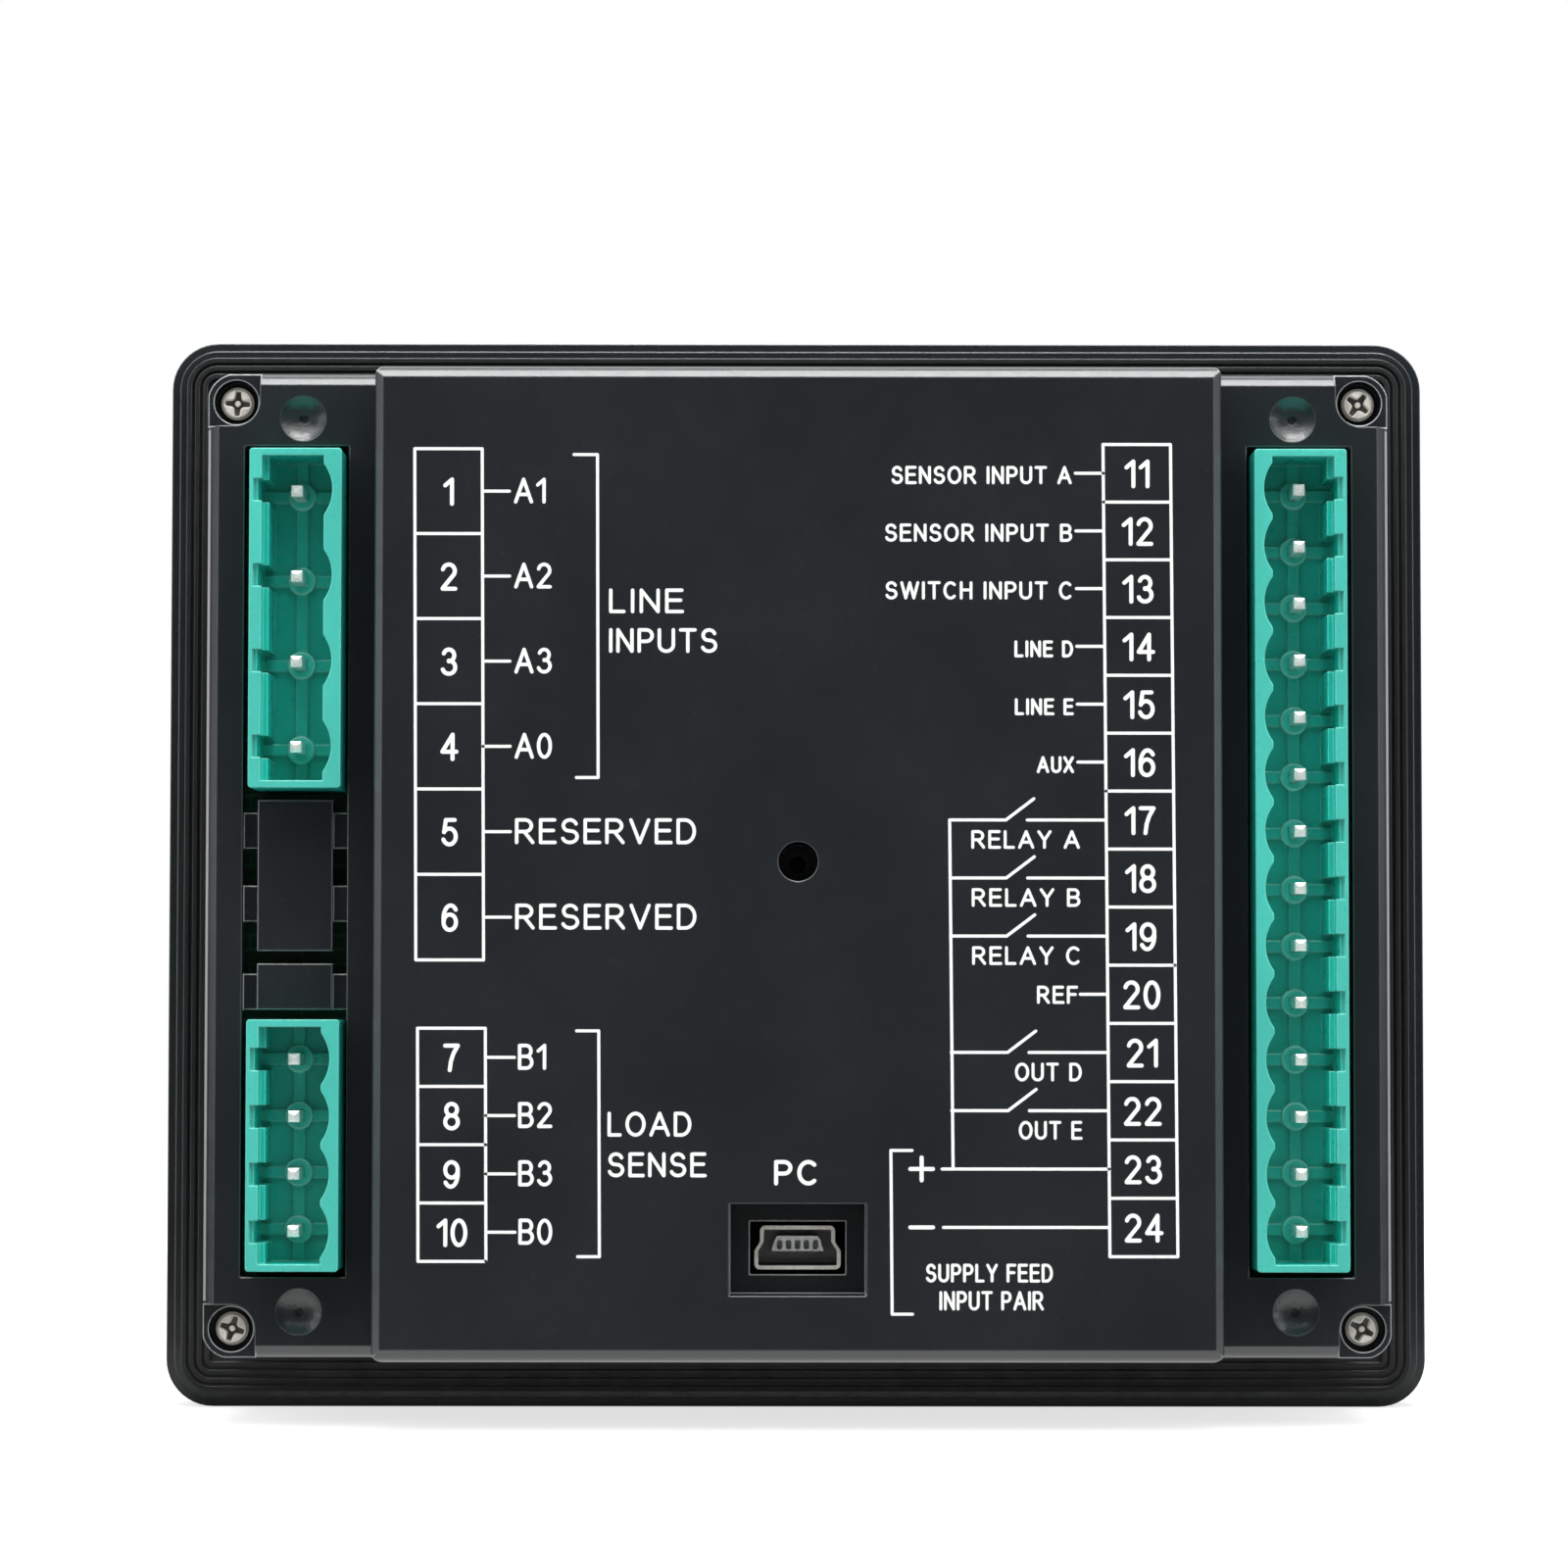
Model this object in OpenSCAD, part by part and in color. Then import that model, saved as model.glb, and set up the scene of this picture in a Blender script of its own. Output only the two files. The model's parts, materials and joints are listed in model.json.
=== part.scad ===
// Panel-mounted genset controller: a front bezel with a display and keys, and a moulded rear cover
// whose two side shelves show three pluggable terminal headers.
// X runs to the right as seen from the front, Y from the front to the rear, Z up, in millimetres.
// The origin is the middle of the plane where the gasket meets the panel.

/* [Front bezel] */
// Width of the front bezel
bezel_w = 118.4; // [106:0.2:130]
// Height of the front bezel
bezel_h = 100.4; // [90:0.2:110]
// Reach of the bezel past the body, all round
flange_w = 6; // [5.6:0.1:6.4]
// Corner radius of the bezel outline
bezel_corner = 4.4; // [4:0.1:6]
// Thickness of the bezel from its front face to the gasket seat
bezel_t = 7.8; // [7.4:0.1:9]
// Rounding of the bezel's front edge
bezel_edge = 1.6; // [1:0.1:2.4]
// Width of the step along the bezel's rear edge
bezel_step = 0.8; // [0.4:0.1:1]
// Thickness of the bezel's front face
face_t = 2.4; // [2.2:0.1:2.8]
// Width of the plain border round the printed overlay
border = 6; // [5:0.5:7]

/* [Display and keys] */
// Overlay left of the display's lens
lens_left = 9; // [8:0.5:12]
// Overlay right of the display's lens
lens_right = 31; // [30:0.5:34]
// Overlay above the display's lens
lens_top = 8; // [7:0.5:10]
// Overlay below the display's lens
lens_bottom = 42; // [41:0.5:44]
// Width of a mode key
key_w = 16; // [12:0.5:17]
// Height of a mode key
key_h = 12; // [9:0.5:13]
// Overlay beside the outer mode keys
key_side = 7.5; // [7:0.5:9]
// Height of the mode keys above the overlay's lower edge
key_rise = 15; // [14:0.5:17]
// Width of a scroll key
scroll_w = 13; // [10:0.5:14]
// Height of a scroll key
scroll_h = 10; // [8:0.5:11]
// Distance of the scroll keys from the overlay's right edge
scroll_side = 15; // [15:0.5:16.5]
// Distance between the two scroll keys
scroll_pitch = 18; // [15:0.5:20]
// How far a key stands out of the overlay
key_proud = 1.2; // [0.9:0.1:1.6]
// Travel of a key
key_travel = 0.5; // [0.3:0.05:0.6]

/* [Rear body] */
// Corner radius of the body, about its corner screws
body_corner = 2.6; // [2.6:0.1:2.9]
// Wall thickness of the mouldings
wall = 2; // [1.8:0.1:2.1]
// Depth of the bezel's skirt behind the panel
skirt_d = 6; // [5:0.5:7]
// Depth of the header shelves behind the panel
shelf_d = 24; // [23.6:0.1:24.4]
// Height of the middle block above the shelves
block_rise = 6; // [5.5:0.1:7]
// Width of the shelf on each side of the middle block
shelf_w = 15.6; // [14.9:0.1:17.2]
// Rounding of the middle block's corners
block_corner = 1.1; // [0.6:0.1:2]
// Bevel along the sides of the middle block
side_bevel = 0.75; // [0.55:0.05:1]
// Bevel along the top and bottom of the middle block
end_bevel = 1.15; // [0.7:0.05:1.3]
// Bevel along the outer edges of the shelves
shelf_bevel = 1.15; // [0.7:0.05:1.3]
// Rounding where an outer bevel meets the side of the cover
bevel_round = 2; // [0.4:0.1:2.2]
// Rounding where a side bevel of the block meets its side
side_round = 0.5; // [0.2:0.1:1.5]
// Diameter of the moulding gate recesses
gate_d = 4.1; // [3:0.1:4.2]

/* [Headers] */
// Pin distance of the current and input-output headers
pitch = 5.08; // [5.00, 5.08]
// Pin distance of the voltage header
wide_pitch = 7.62; // [7.50, 7.62]
// Width of a header
header_w = 8.2; // [8:0.1:8.4]
// Height of a header above its board
header_t = 12; // [11.6:0.1:12.4]
// Depth of a header's cavity
cavity_d = 7.6; // [7:0.1:8]
// Free gap at the ends of a header
end_gap = 0.7; // [0.5:0.05:0.8]
// Height of the header rows above the centre
header_z = 0.3; // [0:0.1:0.4]

/* [Hidden] */
$fn = 64;

// Counts of pins in the two headers of the left shelf
voltage_count = 4;
current_count = 4;

// Clearances
cut = 1;
key_gap = 0.3;
rest_gap = 0.1;
window_gap = 0.3;
body_gap = 0.3;
board_gap = 0.3;
film_gap = 0.1;
pin_fit = 0.02;
screw_fit = 0.05;
screw_pass = 0.1;
plunger_fit = 0.1;
usb_gap = 0.4;
joint_gap = 0.1;

// Gasket, with ribs that run round the bezel's outline
gasket_t = 1.2;
gasket_base = 0.7;
gasket_inset = 1.5;
rib_first = 1.6;
rib_w = 0.4;
rib_pitch = 0.75;
rib_count = 4;
rib_corner = 0.7;

// Depth of the step along the bezel's rear edge
bezel_step_d = 0.6;

// Depth levels of the bezel and the front stack
y_seat = -gasket_t;
y_front = y_seat - bezel_t;
y_face = y_front + face_t;
film_recess = 0.4;
film_t = 0.3;
lens_t = 1.7;
y_film = y_front + film_recess;
y_film_front = y_film - film_t;
lcd_t = 5.3;
y_lcd = y_face + rest_gap;
board_t = 1.6;
y_display_board = y_lcd + lcd_t;
y_display_back = y_display_board + board_t;

// Body behind the panel, its middle block and the cavity of the two housings
body_w = bezel_w - 2 * flange_w;
body_h = bezel_h - 2 * flange_w;
block_w = body_w - 2 * shelf_w;
inner_w = body_w - 2 * wall;
inner_h = body_h - 2 * wall;
inner_corner = 0.8;

// Overlay and display sizes
overlay_w = bezel_w - 2 * border;
overlay_h = bezel_h - 2 * border;
overlay_corner = 2.5;
lens_w = overlay_w - lens_left - lens_right;
lens_h = overlay_h - lens_top - lens_bottom;
display_x = (lens_left - lens_right) / 2;
display_z = (lens_bottom - lens_top) / 2;
lens_corner = 2;
lens_ledge = 3;
lcd_margin = 1;
lcd_lip = 0.3;
lcd_wall = 0.6;
lcd_glass_t = 2.2;

// Keys and their switches
key_corner = 2.2;
key_edge = 0.6;
key_flange = 1.2;
key_flange_t = 1;
y_key = y_film_front - key_proud;
y_flange = y_face + rest_gap;
y_flange_back = y_flange + key_flange_t;
switch_size = 6;
switch_gap = 0.4;
switch_t = y_display_board - y_flange_back - key_travel - switch_gap;
plunger_d = 3.4;
plunger_dip = 1.2;
mode_keys = [-1.5, -0.5, 0.5, 1.5];
scroll_keys = [0.5, -0.5];
key_pitch = (overlay_w - 2 * key_side - key_w) / (len(mode_keys) - 1);
key_row_z = key_rise - overlay_h / 2;
scroll_x = overlay_w / 2 - scroll_side;

// Indicator lamps above the mode keys
lamp_d = 3;
lamp_gap = 0.1;
lamp_proud = 0.5;
lamp_foot_d = 3.8;
lamp_foot_t = 1;
lamp_rise = 9;
lamp_z = key_row_z + key_h / 2 + lamp_rise;

// Corner screws, set on the body's corner radius
screw_d = 2;
screw_x = body_w / 2 - body_corner;
screw_z = body_h / 2 - body_corner;
screw_head_d = 3.2;
screw_head_t = 1.3;
screw_crown_d = 2;
screw_bore_d = 4;
relief_r = 2.25;
relief_d = 1.4;
screw_bore_t = 2;
y_relief = shelf_d - relief_d;
y_screw = y_relief - screw_bore_t;
screw_end = -3;
column_d = 5;
cross_w = 0.55;
cross_l = 1.9;
cross_d = 0.7;

// Joint between the bezel's skirt and the rear cover
tongue_w = 0.9;
tongue_d = 1.5;

// Rear block levels
y_roof = shelf_d + block_rise;
y_roof_in = y_roof - wall;

// Boards
board_w = inner_w - 2 * board_gap;
board_h = inner_h - 2 * board_gap;
rim_rise = 4.5;
y_header = shelf_d + rim_rise - header_t;
y_terminal_board = y_header - board_t;
post_d = 4.6;
board_screw_l = 5;
terminal_inset_x = 7.6;
post_inset_z = 6;
post_inset_x = 4.8;
display_post_drop = 10.2;
display_post_rise = 13;
terminal_post_x = block_w / 2 - terminal_inset_x;
terminal_post_z = body_h / 2 - post_inset_z;
display_post_x = body_w / 2 - post_inset_x;
display_posts_z = [body_h / 2 - display_post_drop, key_row_z + display_post_rise];

// Headers: rows of pins with keyed walls
end_margin = 3.5;
wide_end_margin = 3.7;
row_inset = 6.6;
io_count = 1 + floor((body_h - 2 * row_inset - 2 * end_margin) / pitch);
voltage_l = (voltage_count - 1) * wide_pitch + 2 * wide_end_margin;
current_l = (current_count - 1) * pitch + 2 * end_margin;
io_l = (io_count - 1) * pitch + 2 * end_margin;
window_edge = 3.5;
outer_gap = 0.9;
window_outer = body_w / 2 - window_edge;
window_inner = window_outer - header_w - window_gap - outer_gap;
window_l = io_l + 2 * end_gap;
header_x = window_inner + window_gap + header_w / 2;
voltage_z = header_z + window_l / 2 - end_gap - voltage_l / 2;
current_z = header_z - window_l / 2 + end_gap + current_l / 2;
y_rim = y_header + header_t;
y_floor = y_rim - cavity_d;
rim_wall = 1.1;
ledge_wall = 1.6;
ledge_drop = 1.6;
wave_wall = 1.58;
wave_thin = 0.83;
wave_r = 3.8;
end_wall = 0.65;
notch_w = 2;
notch_wall = 0.7;
notch_lip = 0.32;
notch_step = 0.6;
header_corner = 0.3;
boss_d = 2.5;
boss_t = 1;
boss_edge = 0.2;
floor_rib_w = 1;
floor_rib_t = 0.5;
pin_w = 1;
pin_tip = 0.4;
pin_taper = 0.25;
pin_drop = 1.3;
pin_tail = 2.2;
pin_hole_d = 1.6;

// Blanked-off places between the two headers of the left shelf
blank_gap = 0.9;
blank_slot = 1.15;
small_blank_l = 4.1;
blank_inset = 1.35;
blank_drop = 0.4;
blank_t = 1.4;
web_share = 0.237;
web_upper = 0.3;
web_lower = 0.185;
web_drop = 1.3;
web_t = 0.7;
blank_top = voltage_z - voltage_l / 2 - blank_gap;
blank_bottom = current_z + current_l / 2 + blank_gap;
large_blank_l = blank_top - blank_bottom - small_blank_l - blank_slot;
large_blank_z = blank_top - large_blank_l / 2;
small_blank_z = blank_bottom + small_blank_l / 2;
web_l = web_share * large_blank_l;
large_webs = [web_upper * large_blank_l, -web_lower * large_blank_l];
small_webs = [(web_l - small_blank_l) / 2];

// Gate recesses on the shelves
gate_inset_x = 8.75;
gate_inset_z = 4.2;
gate_x = body_w / 2 - gate_inset_x;
gate_z = body_h / 2 - gate_inset_z;
gate_depth = 0.9;
gate_r = (gate_d * gate_d / 4 + gate_depth * gate_depth) / (2 * gate_depth);
gate_pip_d = 0.8;
gate_pip_t = 0.3;

// Well in the middle of the block
well_d = 3.5;
well_depth = 8;
well_wall = 1.5;
pilot_d = 1.5;

// Data socket and its recess
usb_inset = 10;
usb_z = usb_inset - body_h / 2;
usb_w = 7.7;
usb_h = 3.9;
usb_wall = 0.35;
usb_corner = 0.5;
usb_step = 0.5;
usb_recess_w = 12.1;
usb_recess_h = 8.1;
usb_recess_wall = 1.5;
usb_recess_d = 4.4;
usb_sink = 0.6;
y_usb_floor = y_roof - usb_recess_d;
y_usb = y_usb_floor - usb_sink;
usb_base_t = 2.4;
usb_upper = -0.3;
usb_slope = 0.8;
insert_w = 4.66;
insert_mid_w = 4.1;
insert_top_w = 3.6;
insert_h = 1.34;
insert_mid_z = 0.3;
insert_rise = 0.34;
insert_drop = 0.6;
pocket_w = 0.5;
pocket_h = 0.85;
pocket_corner = 0.2;
pocket_sink = 0.1;
pocket_deep = 1.5;
contact_drop = 1.5;
contact_count = 5;
contact_pitch = 0.8;
contact_w = 0.4;
contact_t = 0.15;

// Slots for the panel clamps, in the top and bottom walls
slot_w = 9;
slot_h = 3;
slot_deep = 1.2;
slot_inset = 12.6;
slot_x = block_w / 2 - slot_inset;
slot_rise = 4;
slot_y = skirt_d + slot_rise;

// Parts on the boards
relay_size = [15, 11.5, 10.4];
relay_x = -26;
relay_count = 5;
relay_inset = 17.2;
relay_pitch = (body_h - 2 * relay_inset) / (relay_count - 1);
transformer_size = [12, 11, 11];
transformer_count = 3;
transformer_pitch = 13.5;
component_x = 26;
transformer_inset = 15.2;
transformer_z = transformer_inset - body_h / 2;
capacitor_d = 10;
capacitor_t = 11.5;
capacitor_zs = [14, 27];
link_w = 26;
link_h = 5;
link_inset = 8.2;
link_z = link_inset - body_h / 2;
chip_w = 14;
chip_t = 1.4;
chip_z = 10;

black = "#2b2e31";
jet = "#1c1e20";
header_green = "#17906f";
nickel = "#c9ccd0";
board_green = "#1f5a3a";

// Extrudes a flat shape, drawn in X and Z, along Y from y0 to y1
module along_y(y0, y1) {
    translate([0, y1, 0])
        rotate([90, 0, 0])
            linear_extrude(y1 - y0)
                children();
}

// Flat rectangle with rounded corners
module round_rect(w, h, r) {
    square([w - 2 * r, h], center = true);
    square([w, h - 2 * r], center = true);
    for (x = [-1, 1], z = [-1, 1])
        translate([x * (w / 2 - r), z * (h / 2 - r)])
            circle(r);
}

// Round rod along Y
module rod(d, y0, y1) {
    translate([0, y1, 0])
        rotate([90, 0, 0])
            cylinder(d = d, h = y1 - y0);
}

// Box from y0 to y1, centred in X and Z
module box(w, h, y0, y1) {
    translate([-w / 2, y0, -h / 2])
        cube([w, y1 - y0, h]);
}

// Copies of the children at the four corners x, z
module corners(x, z) {
    for (i = [-1, 1], j = [-1, 1])
        translate([i * x, 0, j * z])
            children();
}

// Half section of a slab's edge, with a rounded front
module edge_section(reach, t, edge) {
    polygon([
        [0, 0], [reach, 0], [reach, t - edge],
        [reach - edge, t - edge], [reach - edge, t], [0, t],
    ]);
    translate([reach - edge, t - edge])
        intersection() {
            circle(edge);
            square(edge);
        }
}

// Slab with rounded corners and the section above all round, its front face at y0
module soft_slab(w, h, r, t, edge, y0) {
    straight = [w - 2 * r, h - 2 * r];
    translate([0, y0 + t, 0])
        rotate([90, 0, 0]) {
            translate([-straight[0] / 2, -straight[1] / 2, 0])
                cube([straight[0], straight[1], t]);
            for (side = [0:3]) {
                across = straight[side % 2];
                along = straight[(side + 1) % 2];
                rotate([0, 0, 90 * side])
                    translate([across / 2, 0, 0]) {
                        translate([0, along / 2, 0])
                            rotate_extrude(angle = 90)
                                edge_section(r, t, edge);
                        translate([0, along / 2, 0])
                            rotate([90, 0, 0])
                                linear_extrude(along)
                                    edge_section(r, t, edge);
                    }
            }
        }
}

// Flat section of a box whose rear edges are bevelled, with a rounding below each bevel
module bevel_section(w, y0, y1, bevel, r) {
    tangent = r * tan(22.5);
    y_side = y1 - bevel - tangent;
    x_bevel = w / 2 - tangent * sin(45);
    y_bevel = y1 - bevel + tangent * sin(45);
    polygon([
        [-w / 2, y0], [w / 2, y0], [w / 2, y_side], [x_bevel, y_bevel],
        [w / 2 - bevel, y1], [bevel - w / 2, y1], [-x_bevel, y_bevel], [-w / 2, y_side],
    ]);
    for (x = [-1, 1])
        translate([x * (w / 2 - r), y_side])
            circle(r);
}

// Box with its four rear edges bevelled; side_r rounds the foot of the side bevels
module bevel_box(w, h, y0, y1, side, side_r, end) {
    intersection() {
        linear_extrude(h, center = true)
            bevel_section(w, y0, y1, side, side_r);
        rotate([0, 90, 0])
            linear_extrude(w, center = true)
                bevel_section(h, y0, y1, end, bevel_round);
    }
}

// Places of the keys, by row
module at_mode_key(i) {
    translate([mode_keys[i] * key_pitch, 0, key_row_z])
        children();
}

module at_scroll_key(i) {
    translate([scroll_x, 0, display_z + scroll_keys[i] * scroll_pitch])
        children();
}

module at_keys() {
    for (i = [0:len(mode_keys) - 1])
        at_mode_key(i)
            children();
    for (i = [0:len(scroll_keys) - 1])
        at_scroll_key(i)
            children();
}

module at_lamps() {
    for (i = mode_keys)
        translate([i * key_pitch, 0, lamp_z])
            children();
}

module at_display() {
    translate([display_x, 0, display_z])
        children();
}

module at_display_posts() {
    for (x = [-1, 1], z = display_posts_z)
        translate([x * display_post_x, 0, z])
            children();
}

// Holes for the keys and the lamps through a sheet from y0 to y1
module key_holes(y0, y1) {
    for (i = [0:len(mode_keys) - 1])
        at_mode_key(i)
            along_y(y0, y1)
                round_rect(key_w + 2 * key_gap, key_h + 2 * key_gap, key_corner + key_gap);
    for (i = [0:len(scroll_keys) - 1])
        at_scroll_key(i)
            along_y(y0, y1)
                round_rect(scroll_w + 2 * key_gap, scroll_h + 2 * key_gap, key_corner + key_gap);
    at_lamps()
        rod(lamp_d + 2 * lamp_gap, y0, y1);
}

// Opening that takes the lens, from y0 to y1
module lens_seat(y0, y1) {
    at_display()
        along_y(y0, y1)
            round_rect(lens_w + 2 * film_gap, lens_h + 2 * film_gap, lens_corner + film_gap);
}

// Outline of the step along the bezel's rear edge
module rear_step() {
    difference() {
        square([bezel_w + 2 * cut, bezel_h + 2 * cut], center = true);
        round_rect(bezel_w - 2 * bezel_step, bezel_h - 2 * bezel_step, bezel_corner - bezel_step);
    }
}

module front_bezel() {
    color(black)
        difference() {
            union() {
                difference() {
                    union() {
                        difference() {
                            soft_slab(bezel_w, bezel_h, bezel_corner, bezel_t, bezel_edge, y_front);
                            along_y(y_seat - bezel_step_d, y_seat + cut)
                                rear_step();
                        }
                        along_y(y_face, skirt_d)
                            round_rect(body_w, body_h, body_corner);
                    }
                    along_y(y_face, skirt_d + cut)
                        round_rect(inner_w, inner_h, inner_corner);
                    along_y(skirt_d - tongue_d, skirt_d + cut)
                        round_rect(
                            inner_w + 2 * (tongue_w + joint_gap),
                            inner_h + 2 * (tongue_w + joint_gap),
                            inner_corner + tongue_w
                        );
                }
                corners(screw_x, screw_z)
                    rod(column_d, y_face - face_t / 2, skirt_d);
                at_display_posts()
                    rod(post_d, y_face - face_t / 2, y_display_board);
            }
            along_y(y_front - cut, y_film)
                round_rect(overlay_w, overlay_h, overlay_corner);
            corners(screw_x, screw_z)
                rod(screw_d + 2 * screw_fit, screw_end - cut, skirt_d + cut);
            at_display_posts()
                rod(screw_d + 2 * screw_fit, y_display_board - board_screw_l, y_display_board + cut);
            key_holes(y_front - cut, y_face + cut);
            lens_seat(y_front - cut, y_film_front + lens_t);
            at_display()
                along_y(y_film, y_face + cut)
                    round_rect(lens_w - 2 * lens_ledge, lens_h - 2 * lens_ledge, lens_corner);
        }
}

module front_overlay() {
    color("#3a3f45")
        difference() {
            along_y(y_film_front, y_film)
                round_rect(overlay_w - 2 * film_gap, overlay_h - 2 * film_gap, overlay_corner - film_gap);
            key_holes(y_film_front - cut, y_film + cut);
            lens_seat(y_film_front - cut, y_film + cut);
        }
}

module display_window() {
    color("#8fa0a8")
        at_display()
            along_y(y_film_front, y_film_front + lens_t)
                round_rect(lens_w, lens_h, lens_corner);
}

// One rib of the gasket, at a distance in from the bezel's outline
module gasket_rib(inset) {
    corner = max(bezel_corner - inset, rib_corner);
    along_y(y_seat, 0)
        difference() {
            round_rect(bezel_w - 2 * inset, bezel_h - 2 * inset, corner);
            round_rect(bezel_w - 2 * (inset + rib_w), bezel_h - 2 * (inset + rib_w), corner - rib_w);
        }
}

module panel_gasket() {
    color("#141516") {
        along_y(y_seat, y_seat + gasket_base)
            difference() {
                round_rect(
                    bezel_w - 2 * gasket_inset, bezel_h - 2 * gasket_inset, bezel_corner - gasket_inset
                );
                round_rect(body_w + 2 * body_gap, body_h + 2 * body_gap, body_corner + body_gap);
            }
        for (i = [0:rib_count - 1])
            gasket_rib(rib_first + i * rib_pitch);
    }
}

// Notch that opens a corner of the rear cover above its screw
module corner_relief() {
    rod(2 * relief_r, y_relief, y_roof);
    for (k = [0, 1])
        translate([-relief_r * k, y_relief, -relief_r * (1 - k)])
            cube([2 * relief_r, y_roof - y_relief, 2 * relief_r]);
}

module each_corner_relief() {
    for (i = [0, 1], j = [0, 1])
        mirror([i, 0, 0])
            mirror([0, 0, j])
                translate([screw_x, 0, screw_z])
                    corner_relief();
}

// Moulding gate recess: a shallow bowl with a small pip cut in its middle
module gate_recess() {
    translate([0, shelf_d - gate_depth + gate_r, 0])
        sphere(gate_r);
    rod(gate_pip_d, shelf_d - gate_depth - gate_pip_t, shelf_d);
}

module shelf_window() {
    translate([(window_inner + window_outer) / 2, 0, header_z])
        box(window_outer - window_inner, window_l, shelf_d - wall - cut, shelf_d + cut);
}

// Blanked-off place, held to the window's sides by thin webs
module blank(l, webs) {
    window_w = window_outer - window_inner;
    y_top = shelf_d - blank_drop;
    box(window_w - 2 * blank_inset, l, y_top - blank_t, y_top);
    for (z = webs)
        translate([0, 0, z])
            box(window_w + cut, web_l, shelf_d - web_drop - web_t, shelf_d - web_drop);
}

module cover_shell() {
    difference() {
        union() {
            intersection() {
                along_y(skirt_d, shelf_d)
                    round_rect(body_w, body_h, body_corner);
                bevel_box(body_w, body_h, skirt_d, shelf_d, shelf_bevel, bevel_round, shelf_bevel);
            }
            intersection() {
                along_y(shelf_d - wall, y_roof)
                    round_rect(block_w, body_h, block_corner);
                bevel_box(block_w, body_h, shelf_d - wall, y_roof, side_bevel, side_round, end_bevel);
            }
        }
        along_y(skirt_d - cut, shelf_d - wall)
            round_rect(inner_w, inner_h, inner_corner);
        box(block_w - 2 * wall, inner_h, skirt_d, y_roof_in);
        shelf_window();
        mirror([1, 0, 0])
            shelf_window();
    }
}

module cover_tongue() {
    difference() {
        along_y(skirt_d - tongue_d + joint_gap, skirt_d + cut)
            difference() {
                round_rect(inner_w + 2 * tongue_w, inner_h + 2 * tongue_w, inner_corner + tongue_w);
                round_rect(inner_w, inner_h, inner_corner);
            }
        corners(screw_x, screw_z)
            rod(column_d + 2 * body_gap, skirt_d - tongue_d, skirt_d);
    }
}

module at_terminal_posts() {
    corners(terminal_post_x, terminal_post_z)
        children();
}

module rear_cover() {
    color(black)
        difference() {
            union() {
                cover_shell();
                cover_tongue();
                corners(screw_x, screw_z)
                    rod(column_d, skirt_d, y_relief);
                at_terminal_posts()
                    rod(post_d, y_header, y_roof_in + wall / 2);
                rod(well_d + 2 * well_wall, y_roof - well_depth - well_wall, y_roof_in + wall / 2);
                translate([0, 0, usb_z])
                    box(
                        usb_recess_w + 2 * usb_recess_wall, usb_recess_h + 2 * usb_recess_wall,
                        y_usb_floor - usb_recess_wall, y_roof_in + wall / 2
                    );
                translate([(window_inner + window_outer) / 2, 0, large_blank_z])
                    blank(large_blank_l, large_webs);
                translate([(window_inner + window_outer) / 2, 0, small_blank_z])
                    blank(small_blank_l, small_webs);
            }
            each_corner_relief();
            corners(screw_x, screw_z) {
                rod(screw_bore_d, y_screw, y_roof);
                rod(screw_d + 2 * screw_pass, skirt_d - cut, y_roof);
            }
            corners(gate_x, gate_z)
                gate_recess();
            at_terminal_posts()
                rod(screw_d + 2 * screw_fit, y_header - cut, y_header + board_screw_l);
            rod(well_d, y_roof - well_depth, y_roof + cut);
            rod(pilot_d, y_roof - well_depth - well_wall - cut, y_roof);
            translate([0, 0, usb_z]) {
                box(usb_recess_w, usb_recess_h, y_usb_floor, y_roof + cut);
                box(usb_w + 2 * usb_gap, usb_h + 2 * usb_gap, y_usb_floor - wall - cut, y_roof);
            }
            for (x = [-1, 1], z = [-1, 1])
                translate([x * slot_x, slot_y, z * body_h / 2])
                    cube([slot_w, slot_h, 2 * slot_deep], center = true);
        }
}

// Pan-head screw with a cross recess, driven towards the front from the seat of its head
module screw(y_seat_face, l) {
    y_top = y_seat_face + screw_head_t;
    difference() {
        union() {
            rod(screw_d, y_seat_face - l, y_seat_face + screw_head_t / 2);
            rod(screw_head_d, y_seat_face, y_seat_face + screw_head_t / 2);
            translate([0, y_seat_face + screw_head_t / 2, 0])
                rotate([-90, 0, 0])
                    cylinder(d1 = screw_head_d, d2 = screw_crown_d, h = screw_head_t / 2);
        }
        for (turn = [0, 90])
            rotate([0, turn, 0])
                box(cross_w, cross_l, y_top - cross_d, y_top + cut);
    }
}

module corner_screws() {
    color(nickel)
        corners(screw_x, screw_z)
            screw(y_screw, y_screw - screw_end);
}

module board_screws() {
    color(nickel) {
        at_display_posts()
            screw(y_display_back, board_screw_l + board_t - rest_gap);
        at_terminal_posts()
            translate([0, y_terminal_board, 0])
                mirror([0, 1, 0])
                    screw(0, board_screw_l + board_t - rest_gap);
    }
}

function pin_z(i, count, step) = (i - (count - 1) / 2) * step;

// Keyed cavity at one pin: a rounded bay in the inner wall and a stepped notch in the outer wall
module header_bay() {
    half = header_w / 2;
    translate([0, y_floor, -notch_w / 2])
        cube([half - notch_wall, cavity_d + cut, notch_w]);
    translate([0, y_rim - notch_step, -notch_w / 2])
        cube([half - notch_lip, notch_step + cut, notch_w]);
    intersection() {
        translate([-half + wave_thin + wave_r, 0, 0])
            rod(2 * wave_r, y_floor, y_rim + cut);
        translate([-half, y_floor, -wave_r])
            cube([half, cavity_d + cut, 2 * wave_r]);
    }
}

// Round boss at the foot of a pin, with a bevelled edge
module pin_boss() {
    rod(boss_d, y_floor, y_floor + boss_t - boss_edge);
    translate([0, y_floor + boss_t - boss_edge, 0])
        rotate([-90, 0, 0])
            cylinder(d1 = boss_d, d2 = boss_d - 2 * boss_edge, h = boss_edge);
}

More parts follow.
